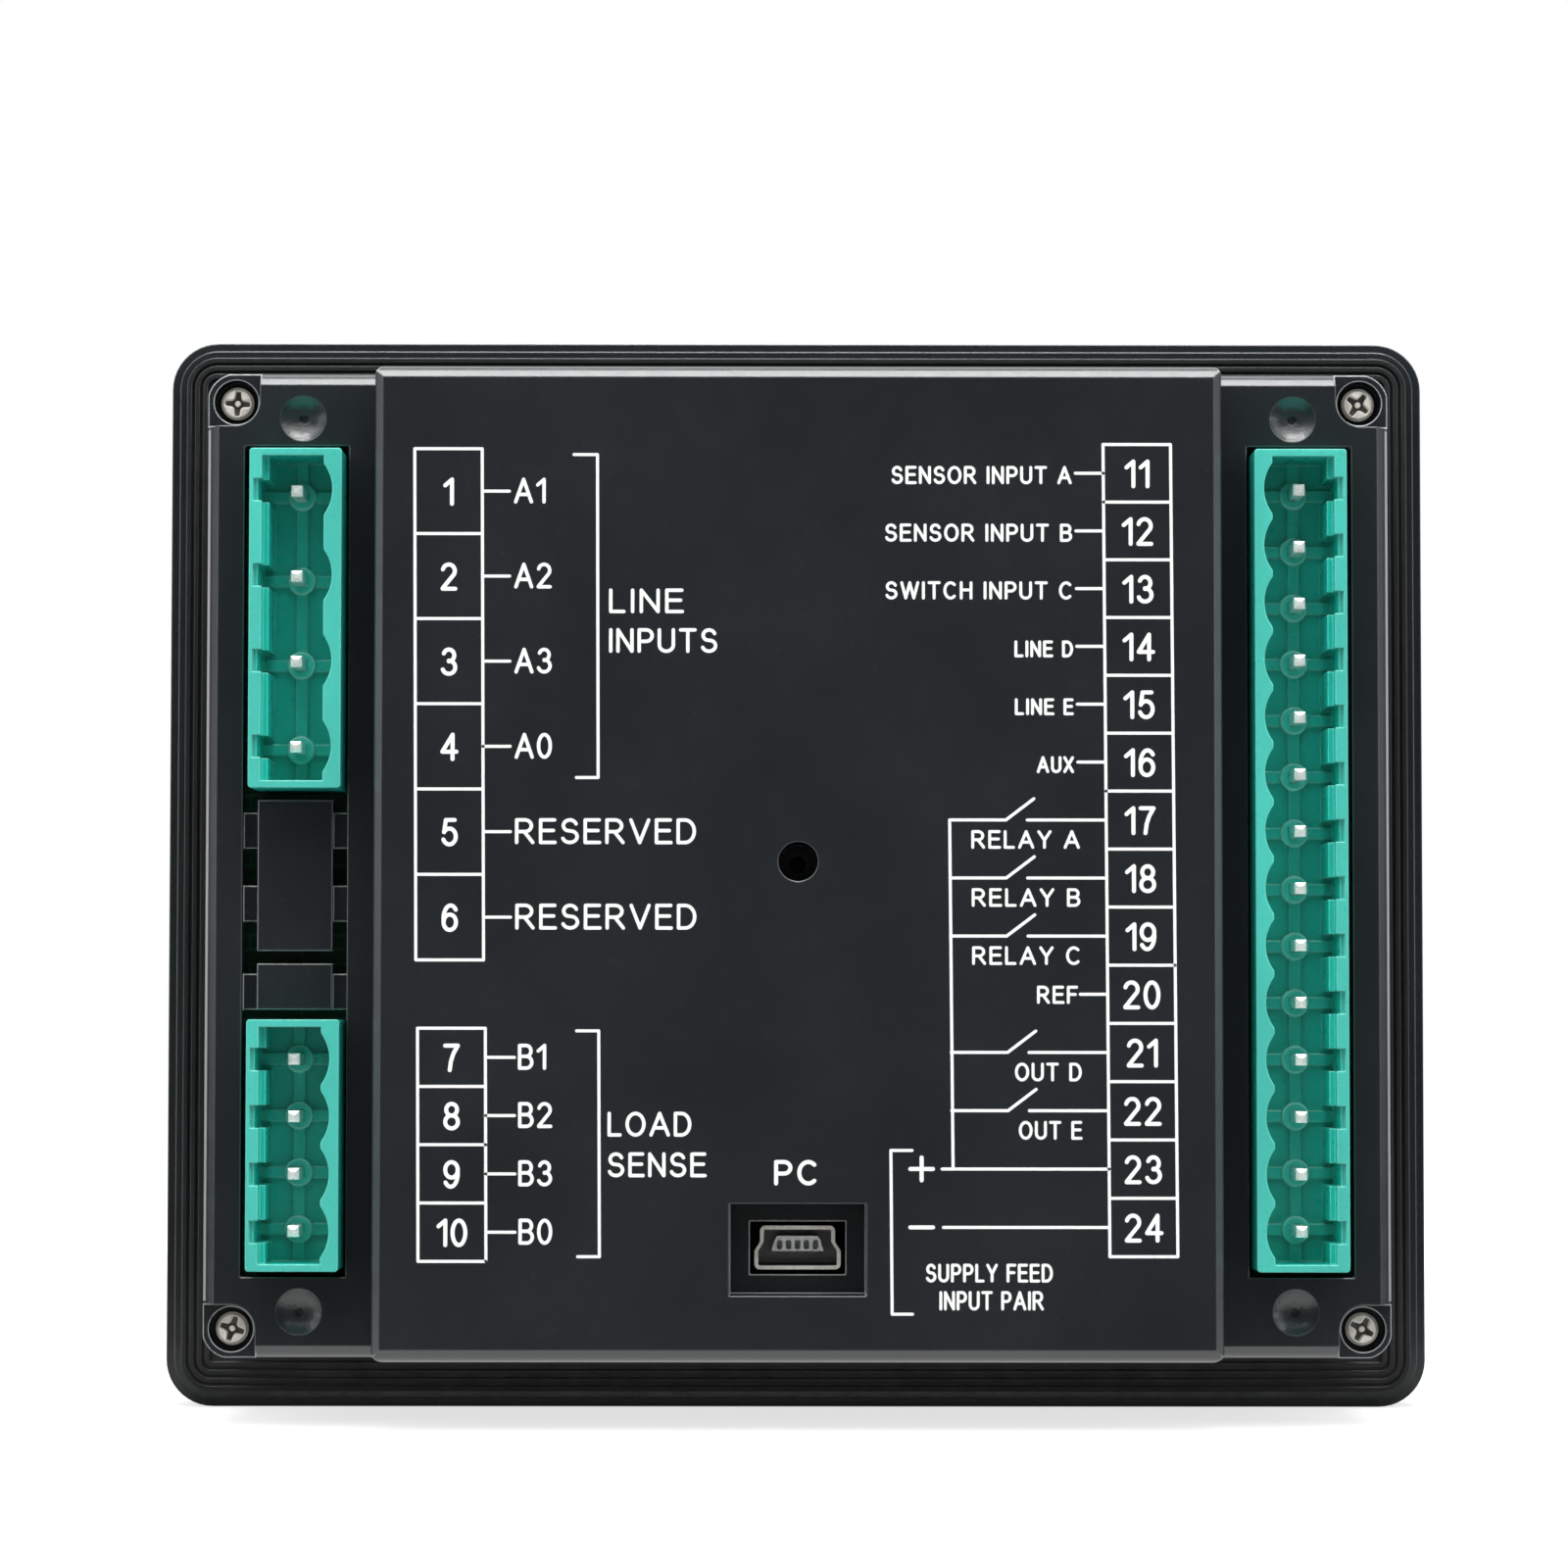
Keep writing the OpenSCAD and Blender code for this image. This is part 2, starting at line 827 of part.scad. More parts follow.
// Housing of a header, its outer wall towards +X, lying on the board at y_header
module header(count, step, l) {
    half = header_w / 2;
    bay_l = l - 2 * end_wall;
    difference() {
        along_y(y_header, y_rim)
            round_rect(header_w, l, header_corner);
        translate([-half + wave_wall, y_floor, -bay_l / 2])
            cube([header_w - wave_wall - ledge_wall, cavity_d + cut, bay_l]);
        translate([-half + wave_wall, y_rim - ledge_drop, -bay_l / 2])
            cube([header_w - wave_wall - rim_wall, ledge_drop + cut, bay_l]);
        intersection() {
            box(header_w, bay_l, y_floor, y_rim + cut);
            for (i = [0:count - 1])
                translate([0, 0, pin_z(i, count, step)])
                    header_bay();
        }
        header_pins(count, step, pin_w + 2 * pin_fit);
    }
    difference() {
        union() {
            box(floor_rib_w, bay_l, y_floor, y_floor + floor_rib_t);
            for (i = [0:count - 1])
                translate([0, 0, pin_z(i, count, step)]) {
                    pin_boss();
                    translate([(wave_thin - header_w) / 2, y_floor, -floor_rib_w / 2])
                        cube([header_w - (wave_thin + notch_wall) / 2, floor_rib_t, floor_rib_w]);
                }
        }
        header_pins(count, step, pin_w + 2 * pin_fit);
    }
}

// Section of a pin with a tapered tip
module pin_section(w) {
    y_tip = y_rim - pin_drop;
    tail = y_terminal_board - pin_tail;
    polygon([
        [-w / 2, tail], [w / 2, tail], [w / 2, y_tip - pin_taper],
        [pin_tip / 2, y_tip], [-pin_tip / 2, y_tip], [-w / 2, y_tip - pin_taper],
    ]);
}

// Row of square pins through a header and its board
module header_pins(count, step, w) {
    for (i = [0:count - 1])
        translate([0, 0, pin_z(i, count, step)])
            intersection() {
                linear_extrude(w, center = true)
                    pin_section(w);
                rotate([0, 90, 0])
                    linear_extrude(w, center = true)
                        pin_section(w);
            }
}

module at_voltage() {
    translate([header_x, 0, voltage_z])
        children();
}

module at_current() {
    translate([header_x, 0, current_z])
        children();
}

module at_io() {
    translate([-header_x, 0, header_z])
        mirror([1, 0, 0])
            children();
}

module voltage_header() {
    color(header_green)
        at_voltage()
            header(voltage_count, wide_pitch, voltage_l);
}

module current_header() {
    color(header_green)
        at_current()
            header(current_count, pitch, current_l);
}

module io_header() {
    color(header_green)
        at_io()
            header(io_count, pitch, io_l);
}

module voltage_pins() {
    color(nickel)
        at_voltage()
            header_pins(voltage_count, wide_pitch, pin_w);
}

module current_pins() {
    color(nickel)
        at_current()
            header_pins(current_count, pitch, pin_w);
}

module io_pins() {
    color(nickel)
        at_io()
            header_pins(io_count, pitch, pin_w);
}

// Outline of the data socket, narrower along its upper part and with rounded corners
module usb_outline(inset) {
    half_w = usb_w / 2 - inset;
    half_h = usb_h / 2 - inset;
    neck_w = half_w - usb_step;
    neck_z = usb_upper + usb_slope;
    r = usb_corner - inset;
    polygon([
        [r - half_w, -half_h], [half_w - r, -half_h], [half_w, r - half_h], [half_w, usb_upper],
        [neck_w, neck_z], [neck_w, half_h - r], [neck_w - r, half_h], [r - neck_w, half_h],
        [-neck_w, half_h - r], [-neck_w, neck_z], [-half_w, usb_upper], [-half_w, r - half_h],
    ]);
    for (x = [-1, 1]) {
        translate([x * (half_w - r), r - half_h])
            circle(r);
        translate([x * (neck_w - r), half_h - r])
            circle(r);
    }
}

// Section of the data socket's insert
module insert_section() {
    polygon([
        [-insert_w / 2, -insert_h / 2], [insert_w / 2, -insert_h / 2],
        [insert_mid_w / 2, insert_mid_z], [insert_top_w / 2, insert_h / 2],
        [-insert_top_w / 2, insert_h / 2], [-insert_mid_w / 2, insert_mid_z],
    ]);
}

// Places of the data socket's contacts, side by side
module at_contacts() {
    for (i = [0:contact_count - 1])
        translate([(i - (contact_count - 1) / 2) * contact_pitch, 0, usb_z + insert_rise])
            children();
}

module usb_shell() {
    color(nickel)
        translate([0, 0, usb_z])
            along_y(y_header, y_usb)
                difference() {
                    usb_outline(0);
                    usb_outline(usb_wall);
                }
}

module usb_insert() {
    color("#8d9194")
        difference() {
            translate([0, 0, usb_z]) {
                along_y(y_header, y_header + usb_base_t)
                    usb_outline(usb_wall);
                translate([0, 0, insert_rise])
                    along_y(y_header, y_usb - insert_drop)
                        insert_section();
            }
            at_contacts()
                translate([0, 0, -pocket_sink])
                    along_y(y_usb - insert_drop - pocket_deep, y_usb)
                        round_rect(pocket_w, pocket_h, pocket_corner);
        }
}

module usb_contacts() {
    color("goldenrod")
        at_contacts()
            translate([0, 0, -(insert_h + contact_t) / 2])
                box(contact_w, contact_t, y_header + usb_base_t, y_usb - contact_drop);
}

module terminal_board() {
    color(board_green)
        difference() {
            along_y(y_terminal_board, y_header)
                round_rect(board_w, board_h, inner_corner);
            corners(screw_x, screw_z)
                rod(column_d + 2 * board_gap, y_terminal_board - cut, y_header + cut);
            at_terminal_posts()
                rod(screw_d + 2 * screw_pass, y_terminal_board - cut, y_header + cut);
            at_voltage()
                board_holes(voltage_count, wide_pitch);
            at_current()
                board_holes(current_count, pitch);
            at_io()
                board_holes(io_count, pitch);
        }
}

module board_holes(count, step) {
    for (i = [0:count - 1])
        translate([0, 0, pin_z(i, count, step)])
            rod(pin_hole_d, y_terminal_board - cut, y_header + cut);
}

module display_board() {
    color(board_green)
        difference() {
            along_y(y_display_board, y_display_back)
                round_rect(board_w, board_h, inner_corner);
            corners(screw_x, screw_z)
                rod(column_d + 2 * board_gap, y_display_board - cut, y_display_back + cut);
            at_display_posts()
                rod(screw_d + 2 * screw_pass, y_display_board - cut, y_display_back + cut);
        }
}

module board_link() {
    color(jet)
        translate([0, 0, link_z])
            box(link_w, link_h, y_display_back, y_terminal_board);
}

module lcd_frame() {
    outer_w = lens_w + 2 * lcd_margin;
    outer_h = lens_h + 2 * lcd_margin;
    color("#303338")
        at_display()
            difference() {
                box(outer_w, outer_h, y_lcd, y_display_board);
                box(
                    outer_w - 2 * lcd_wall, outer_h - 2 * lcd_wall,
                    y_lcd + lcd_lip, y_display_board + cut
                );
                box(lens_w - 2 * lens_ledge, lens_h - 2 * lens_ledge, y_lcd - cut, y_display_board);
            }
}

module lcd_glass() {
    color("#9fb08a")
        at_display()
            box(
                lens_w + 2 * lcd_margin - 2 * lcd_wall - 2 * board_gap,
                lens_h + 2 * lcd_margin - 2 * lcd_wall - 2 * board_gap,
                y_lcd + lcd_lip, y_lcd + lcd_lip + lcd_glass_t
            );
}

module lcd_backlight() {
    color("#e8ecec")
        at_display()
            box(
                lens_w + 2 * lcd_margin - 2 * lcd_wall - 2 * board_gap,
                lens_h + 2 * lcd_margin - 2 * lcd_wall - 2 * board_gap,
                y_lcd + lcd_lip + lcd_glass_t, y_display_board
            );
}

module status_lamps() {
    color("#b9c0c4")
        at_lamps() {
            translate([0, y_film_front - lamp_proud + lamp_d / 2, 0])
                sphere(d = lamp_d);
            rod(lamp_d, y_film_front - lamp_proud + lamp_d / 2, y_display_board);
            rod(lamp_foot_d, y_display_board - lamp_foot_t, y_display_board);
        }
}

module key_switches() {
    color(jet)
        at_keys()
            difference() {
                box(switch_size, switch_size, y_display_board - switch_t, y_display_board);
                rod(
                    plunger_d + 2 * plunger_fit,
                    y_display_board - switch_t - cut,
                    y_display_board - switch_t + plunger_dip + key_travel + rest_gap
                );
            }
}

// Key with a retaining flange behind the bezel's face
module key(w, h) {
    soft_slab(w, h, key_corner, y_flange_back - y_key, key_edge, y_key);
    along_y(y_flange, y_flange_back)
        round_rect(w + 2 * key_flange, h + 2 * key_flange, key_corner);
}

// Round plunger of a switch, resting against its key
module plunger() {
    rod(plunger_d, y_flange_back, y_display_board - switch_t + plunger_dip);
}

module mode_key(i, tint) {
    color(tint)
        at_mode_key(i)
            key(key_w, key_h);
}

module scroll_key(i) {
    color("#59606a")
        at_scroll_key(i)
            key(scroll_w, scroll_h);
}

module mode_plunger(i) {
    color("#c8cbd0")
        at_mode_key(i)
            plunger();
}

module scroll_plunger(i) {
    color("#c8cbd0")
        at_scroll_key(i)
            plunger();
}

module output_relays() {
    color("#2d3f66")
        for (i = [0:relay_count - 1])
            translate([relay_x, 0, (i - (relay_count - 1) / 2) * relay_pitch])
                box(relay_size[0], relay_size[2], y_terminal_board - relay_size[1], y_terminal_board);
}

module sensing_transformers() {
    color("#202428")
        for (i = [0:transformer_count - 1])
            translate([component_x, 0, transformer_z + i * transformer_pitch])
                box(
                    transformer_size[0], transformer_size[2],
                    y_terminal_board - transformer_size[1], y_terminal_board
                );
}

module supply_capacitors() {
    color("#3a3d57")
        for (z = capacitor_zs)
            translate([component_x, 0, z])
                rod(capacitor_d, y_terminal_board - capacitor_t, y_terminal_board);
}

module processor_chip() {
    color(jet)
        translate([0, 0, chip_z])
            box(chip_w, chip_w, y_display_back, y_display_back + chip_t);
}

front_bezel();
front_overlay();
display_window();
panel_gasket();
rear_cover();
corner_screws();
voltage_header();
current_header();
io_header();
voltage_pins();
current_pins();
io_pins();
usb_shell();
usb_insert();
usb_contacts();
terminal_board();
display_board();
board_link();
board_screws();
lcd_frame();
lcd_glass();
lcd_backlight();
status_lamps();
key_switches();
mode_key(0, "#a8322c");  // stop_key
mode_key(1, "#59606a");  // manual_key
mode_key(2, "#59606a");  // auto_key
mode_key(3, "#2f8a4b");  // start_key
scroll_key(0);  // up_key
scroll_key(1);  // down_key
mode_plunger(0);  // stop_plunger
mode_plunger(1);  // manual_plunger
mode_plunger(2);  // auto_plunger
mode_plunger(3);  // start_plunger
scroll_plunger(0);  // up_plunger
scroll_plunger(1);  // down_plunger
output_relays();
sensing_transformers();
supply_capacitors();
processor_chip();
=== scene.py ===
"""Genset controller on a pale floor, seen from the rear: finishes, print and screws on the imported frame."""
import json
import math

import bmesh
import bpy
from mathutils import Matrix, Vector

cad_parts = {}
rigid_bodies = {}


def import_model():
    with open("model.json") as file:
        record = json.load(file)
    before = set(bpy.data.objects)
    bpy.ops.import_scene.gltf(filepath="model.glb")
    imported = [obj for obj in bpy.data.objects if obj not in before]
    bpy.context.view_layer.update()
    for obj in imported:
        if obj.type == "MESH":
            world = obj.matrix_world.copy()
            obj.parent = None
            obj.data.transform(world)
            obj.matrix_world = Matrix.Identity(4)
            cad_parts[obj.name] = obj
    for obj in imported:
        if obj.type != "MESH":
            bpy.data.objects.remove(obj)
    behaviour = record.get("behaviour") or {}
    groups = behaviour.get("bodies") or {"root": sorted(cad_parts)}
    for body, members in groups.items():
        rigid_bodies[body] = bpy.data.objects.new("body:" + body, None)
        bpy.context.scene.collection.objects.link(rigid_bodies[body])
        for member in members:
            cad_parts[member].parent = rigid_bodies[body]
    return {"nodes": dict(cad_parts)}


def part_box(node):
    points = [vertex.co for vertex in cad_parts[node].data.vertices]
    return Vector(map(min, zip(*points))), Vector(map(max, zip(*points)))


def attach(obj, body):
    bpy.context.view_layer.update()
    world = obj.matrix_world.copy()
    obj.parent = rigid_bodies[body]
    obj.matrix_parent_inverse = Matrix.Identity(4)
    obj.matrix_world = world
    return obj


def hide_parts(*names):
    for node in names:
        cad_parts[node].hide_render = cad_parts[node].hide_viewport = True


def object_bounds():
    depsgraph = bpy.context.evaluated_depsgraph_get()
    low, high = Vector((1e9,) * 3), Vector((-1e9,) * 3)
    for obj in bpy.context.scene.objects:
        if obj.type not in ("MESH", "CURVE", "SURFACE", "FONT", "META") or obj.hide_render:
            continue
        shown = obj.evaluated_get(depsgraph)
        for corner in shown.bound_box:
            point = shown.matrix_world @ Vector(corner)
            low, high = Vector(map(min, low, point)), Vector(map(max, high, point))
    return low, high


for thing in list(bpy.data.objects):
    bpy.data.objects.remove(thing)
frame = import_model()
cad_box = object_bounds()
nodes = frame["nodes"]
scene = bpy.context.scene
scene.view_settings.view_transform = "Standard"
MM = 0.001


# Node trees
class Nodes:
    """Short calls that add nodes to the tree of a material or of the world."""

    def __init__(self, tree):
        self.tree = tree

    def add(self, kind, inputs=(), **settings):
        node = self.tree.nodes.new(kind)
        for key, value in settings.items():
            setattr(node, key, value)
        for key, value in dict(inputs).items():
            self.plug(node.inputs[key], value)
        return node

    def plug(self, socket, value):
        if isinstance(value, bpy.types.NodeSocket):
            self.tree.links.new(value, socket)
        else:
            socket.default_value = value

    def span(self, value, a, b, low, high, curve="LINEAR"):
        """Takes a to low and b to high, and stays there beyond them."""
        sockets = {"Value": value, "From Min": a, "From Max": b, "To Min": low, "To Max": high}
        return self.add("ShaderNodeMapRange", sockets, interpolation_type=curve).outputs[0]

    def calc(self, kind, a, b=0.0):
        return self.add("ShaderNodeMath", {0: a, 1: b}, operation=kind).outputs[0]

    def band(self, value, start, full, fade, end, curve="LINEAR"):
        """Rises from nought to one between start and full, and falls again between fade and end."""
        rise = self.span(value, start, full, 0, 1, curve)
        return self.calc("MULTIPLY", rise, self.span(value, fade, end, 1, 0, curve))

    def mix(self, share, a, b):
        return self.add("ShaderNodeMixShader", {0: share, 1: a, 2: b}).outputs[0]


class Finish(Nodes):
    """A node material of a piece. Lengths are given in millimetres."""

    def __init__(self, name, **sockets):
        self.material = bpy.data.materials.new(name)
        self.material.use_nodes = True
        super().__init__(self.material.node_tree)
        self.shader = self.tree.nodes["Principled BSDF"]
        self.place = self.add("ShaderNodeTexCoord").outputs["Object"]
        self.set(**sockets)

    def set(self, **sockets):
        for key, value in sockets.items():
            self.plug(self.shader.inputs[key.replace("_", " ")], value)

    def noise(self, size, detail=2.0, place=None):
        sockets = {"Scale": 1 / (size * MM), "Detail": detail, "Vector": place or self.place}
        return self.add("ShaderNodeTexNoise", sockets).outputs[0]

    def cloud(self, size, detail, low=0.0, high=1.0, place=None):
        """Noise whose usual reach is spread from low to high."""
        return self.span(self.noise(size, detail, place), 0.3, 0.7, low, high)

    def blend(self, share, a, b):
        node = self.add("ShaderNodeMix", data_type="RGBA")
        for index, value in ((0, share), (6, a), (7, b)):
            self.plug(node.inputs[index], value)
        return node.outputs[2]

    def axes(self):
        return self.add("ShaderNodeSeparateXYZ", {0: self.place}).outputs

    def zone(self, axis, *limits):
        """A band along one axis of the place, with its limits in millimetres."""
        return self.band(axis, *[limit * MM for limit in limits])

    def stretched(self, x, y, z):
        return self.add("ShaderNodeMapping", {"Vector": self.place, "Scale": (x, y, z)}).outputs[0]

    def tiles(self, width, height, joint, smooth, shift, colours=()):
        """A brick pattern across the X-Z face; the outputs are its colour and its joints."""
        x, _, z = self.axes()
        flat = self.add("ShaderNodeCombineXYZ", {0: x, 1: z}).outputs[0]
        sockets = {"Vector": flat, "Scale": 1.0, "Mortar Size": joint * MM, "Mortar Smooth": smooth,
                   "Brick Width": width * MM, "Row Height": height * MM, **dict(colours)}
        return self.add("ShaderNodeTexBrick", sockets, offset=shift, squash=1.0).outputs

    def relief(self, height, strength, depth, below=None):
        sockets = {"Height": height, "Strength": strength, "Distance": depth * MM}
        if below is not None:
            sockets["Normal"] = below
        return self.add("ShaderNodeBump", sockets).outputs[0]

    def soft_edges(self, radius):
        return self.add("ShaderNodeBevel", {"Radius": radius * MM}, samples=6).outputs[0]

    def edge_mask(self, rounded):
        """One along the edges that a rounded normal softens, nought on the faces between them."""
        plain = self.add("ShaderNodeNewGeometry").outputs["Normal"]
        lean = self.add("ShaderNodeVectorMath", {0: rounded, 1: plain}, operation="DOT_PRODUCT")
        return self.span(lean.outputs["Value"], 0.98, 0.88, 0, 1)


def shade(colour, share):
    return tuple(min(1.0, c * share) for c in colour) + (1.0,)


# Finishes
def moulded(name, colour, rough, edge=0.12):
    """Moulded plastic: a fine spark-eroded grain, faint flow clouds and rounded edges."""
    f = Finish(name, Specular_IOR_Level=0.5)
    f.set(Base_Color=f.blend(f.cloud(11, 3), shade(colour, 0.9), shade(colour, 1.1)))
    f.set(Roughness=f.cloud(1.3, 3, rough - 0.05, rough + 0.05))
    f.set(Normal=f.relief(f.noise(0.2, 2), 0.5, 0.01, f.soft_edges(edge)))
    return f


def plated(name, colour, rough, metal=1.0):
    """Plated metal with drawn scratches and a little tarnish."""
    f = Finish(name, Metallic=metal)
    stain = f.span(f.noise(0.8, 4), 0.35, 0.75, 0, 1)
    f.set(Base_Color=f.blend(stain, shade(colour, 1.05), shade(colour, 0.8)))
    lines = f.noise(0.25, 3, f.stretched(1, 0.12, 1))
    f.set(Roughness=f.span(lines, 0.3, 0.7, rough - 0.05, rough + 0.1))
    f.set(Normal=f.relief(lines, 0.25, 0.004, f.soft_edges(0.06)))
    return f


def cover_black():
    """Charcoal plastic of the two housings, coarser in the bowls of the gates, with a painted highlight along
    its edges, on the bevels of the shelf and the block, and along one line on each flank.
    """
    gate_x, gate_z, gate_rim, fade = 44.45, 40.0, 2.0, 0.1
    # Bands of Y on the bevels of the shelf and the block, and a line along each flank, where a highlight is
    # painted
    shelf_side = (21.8, 22.2, 23.3, 23.8)
    block_side = (24.5, 25.0, 29.4, 29.7)
    flank_line = (22.55, 22.7, 23.1, 23.25)
    flank_x, flank_end, flank_share = 52.5, 39.0, 0.45
    colour = (0.0145, 0.0176, 0.0196)
    f = Finish("cover_charcoal")
    x, y, z = f.axes()
    wide, tall = f.calc("ABSOLUTE", x), f.calc("ABSOLUTE", z)

    across = f.calc("SUBTRACT", wide, gate_x * MM)
    along = f.calc("SUBTRACT", tall, gate_z * MM)
    squared = f.calc("ADD", f.calc("MULTIPLY", across, across), f.calc("MULTIPLY", along, along))
    off_gate = f.span(f.calc("SQRT", squared), (gate_rim - fade) * MM, (gate_rim + fade) * MM, 0, 1)

    tone = f.blend(f.cloud(13, 4), shade(colour, 0.86), shade(colour, 1.14))
    dust = f.span(f.noise(0.5, 5), 0.62, 0.8, 0, 0.35)
    tone = f.blend(dust, tone, shade(colour, 2.2))
    tone = f.blend(off_gate, (0.024, 0.027, 0.029, 1), tone)

    # Painted highlight: a pale colour on the bevels of the shelf and the block, along every edge outside the
    # gates and along the flank line, for the light that rounded edges catch
    sides = f.calc("ADD", f.zone(y, *shelf_side), f.zone(y, *block_side))
    painted_highlight = f.blend(sides, (0.10, 0.107, 0.110, 1), (0.66, 0.68, 0.69, 1))
    line = f.calc("MULTIPLY", f.zone(y, *flank_line),
                  f.span(tall, flank_end * MM, (flank_end + fade) * MM, 1, 0))
    flank = f.span(wide, flank_x * MM, (flank_x + fade) * MM, 0, flank_share)
    edges = f.soft_edges(0.22)
    edge_highlight = f.calc("MULTIPLY", f.edge_mask(edges), off_gate)
    wear_and_highlight = f.calc("MAXIMUM", edge_highlight, f.calc("MULTIPLY", flank, line))
    f.set(Base_Color=f.blend(wear_and_highlight, tone, painted_highlight))

    f.set(Roughness=f.span(off_gate, 0, 1, 0.27, f.cloud(1.6, 3, 0.20, 0.27)))
    edge_on = f.add("ShaderNodeLayerWeight", {"Blend": 0.5, "Normal": edges}).outputs["Facing"]
    f.set(Specular_IOR_Level=f.span(edge_on, 0.62, 0.86, 0.7, 0))
    grain = f.relief(f.noise(0.17, 2), 0.4, 0.010, edges)
    f.set(Normal=f.relief(f.noise(0.3, 3), f.span(off_gate, 0, 1, 0.6, 0), 0.06, grain))
    return f


def green_plastic():
    """Green terminal plastic with faint flow lines, painted shade that darkens it down into the cavities, and
    painted highlights along its edges and round the pin bosses.
    """
    cavity_depth = 7.6
    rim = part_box("io_header")[1].y / MM
    ground = rim - cavity_depth
    f = Finish("header_mint", Specular_IOR_Level=0.5)
    _, y, _ = f.axes()
    flow = f.cloud(5, 3, place=f.stretched(1, 1, 0.35))
    # Lit and shaded copies of the green: painted shade darkest on the cavity floor (deep), lighter on the pin
    # bosses (boss), and the lit colour near the rim (pale)
    deep, boss, pale = [f.blend(flow, shade(c, 0.92), shade(c, 1.08)) for c in
                        ((0.005, 0.50, 0.41), (0.045, 0.62, 0.52), (0.060, 0.475, 0.40))]
    raised = f.zone(y, ground + 0.35, ground + 1.0, ground + 1.1, ground + 1.3)
    # Painted highlight: a pale ring round the top edge of each pin boss
    ring = f.zone(y, ground + 0.78, ground + 0.82, ground + 0.95, ground + 0.98)
    tone = f.blend(ring, f.blend(raised, deep, boss), (0.34, 0.78, 0.70, 1))
    # Painted shade: the lit rim colour gives way to the shaded colours between 0.3 and 1.4 mm under the rim
    tone = f.blend(f.span(y, (rim - 1.4) * MM, (rim - 0.3) * MM, 0, 1), tone, pale)
    edges = f.soft_edges(0.2)
    # Painted highlight: a paler green along every edge
    f.set(Base_Color=f.blend(f.edge_mask(edges), tone, (0.15, 0.70, 0.59, 1)))
    f.set(Roughness=f.cloud(0.9, 3, 0.26, 0.36))
    f.set(Normal=f.relief(f.noise(0.3, 2), 0.3, 0.006, edges))
    return f


def rubber():
    """Gasket rubber, dusty, with a painted highlight along the edges of its ribs."""
    f = Finish("gasket_black", Specular_IOR_Level=0.5)
    dust = f.span(f.noise(0.35, 5), 0.55, 0.8, 0, 0.5)
    tone = f.blend(dust, (0.010, 0.011, 0.012, 1), (0.036, 0.036, 0.035, 1))
    edges = f.soft_edges(0.12)
    # Painted highlight: a paler grey along every edge
    f.set(Base_Color=f.blend(f.edge_mask(edges), tone, (0.078, 0.082, 0.083, 1)))
    f.set(Roughness=f.cloud(2, 3, 0.36, 0.5))
    f.set(Normal=f.relief(f.noise(0.25, 3), 0.4, 0.012, edges))
    return f


def dull_nickel(name, node, deep, clear, metal, edge, dark):
    """Dull nickel of a node: bright down to the clear depth, with painted shade, the dark colour, from the
    deep depth below its top on.
    """
    f = Finish(name, Metallic=metal)
    _, y, _ = f.axes()
    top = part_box(node)[1].y
    # Painted shade: the nickel turns to the dark colour between the clear and the deep depth below the top,
    # where the node sinks into its recess
    above_shade = f.span(y, top - deep * MM, top - clear * MM, 0, 1)
    stain = f.span(f.noise(0.5, 4), 0.35, 0.75, 0, 1)
    bright = f.blend(stain, (1.0, 0.97, 0.89, 1), (0.80, 0.77, 0.69, 1))
    f.set(Base_Color=f.blend(above_shade, (dark, dark * 0.96, dark * 0.9, 1), bright))
    f.set(Roughness=f.cloud(0.3, 3, 0.34, 0.48))
    f.set(Normal=f.relief(f.noise(0.2, 3), 0.25, 0.004, f.soft_edges(edge)))
    return f


def ink(name, colour):
    """Pad-printed ink, a little uneven where it crosses the grain."""
    f = Finish(name, Specular_IOR_Level=0.3)
    wear_and_highlight = f.span(f.noise(0.22, 3), 0.58, 0.78, 0, 0.3)
    f.set(Base_Color=f.blend(wear_and_highlight, shade(colour, 1.0), shade(colour, 0.72)))
    f.set(Roughness=f.cloud(0.8, 2, 0.5, 0.62))
    f.set(Normal=f.relief(f.noise(0.17, 2), 0.3, 0.006))
    return f


def film():
    """Matt overlay film with a fine velvet emboss and a paler band under the keys."""
    key_band = (-39.8, -39.7, -8.3, -8.2)
    f = Finish("overlay_charcoal", Specular_IOR_Level=0.4)
    _, _, z = f.axes()
    cloud = f.cloud(9, 3)
    dark = f.blend(cloud, (0.018, 0.021, 0.026, 1), (0.023, 0.026, 0.031, 1))
    pale = f.blend(cloud, (0.060, 0.066, 0.074, 1), (0.069, 0.075, 0.083, 1))
    f.set(Base_Color=f.blend(f.zone(z, *key_band), dark, pale))
    f.set(Roughness=f.cloud(0.8, 3, 0.42, 0.52))
    f.set(Normal=f.relief(f.noise(0.11, 2), 0.5, 0.008, f.soft_edges(0.05)))
    return f


def lens():
    """Clear acrylic with a few faint smears."""
    f = Finish("lens_acrylic", Transmission_Weight=1.0, IOR=1.49, Specular_IOR_Level=0.5)
    f.set(Base_Color=f.blend(f.cloud(20, 2), (0.80, 0.84, 0.84, 1), (0.84, 0.87, 0.86, 1)))
    f.set(Roughness=f.span(f.noise(0.7, 4), 0.45, 0.8, 0.01, 0.06))
    return f


def display():
    """Unlit dot-matrix glass: a grey-green ground with the faint grid of its dots."""
    dot, gap = 0.46, 0.035
    colours = {"Color1": (0.20, 0.245, 0.155, 1), "Color2": (0.205, 0.25, 0.16, 1),
               "Mortar": (0.26, 0.31, 0.21, 1)}
    f = Finish("display_glass", Specular_IOR_Level=0.5)
    dots = f.tiles(dot, dot, gap, 0.2, 0.0, colours)[0]
    f.set(Base_Color=f.blend(f.cloud(24, 2, 0, 0.25), dots, (0.16, 0.20, 0.13, 1)))
    f.set(Roughness=f.cloud(3, 2, 0.16, 0.24))
    return f


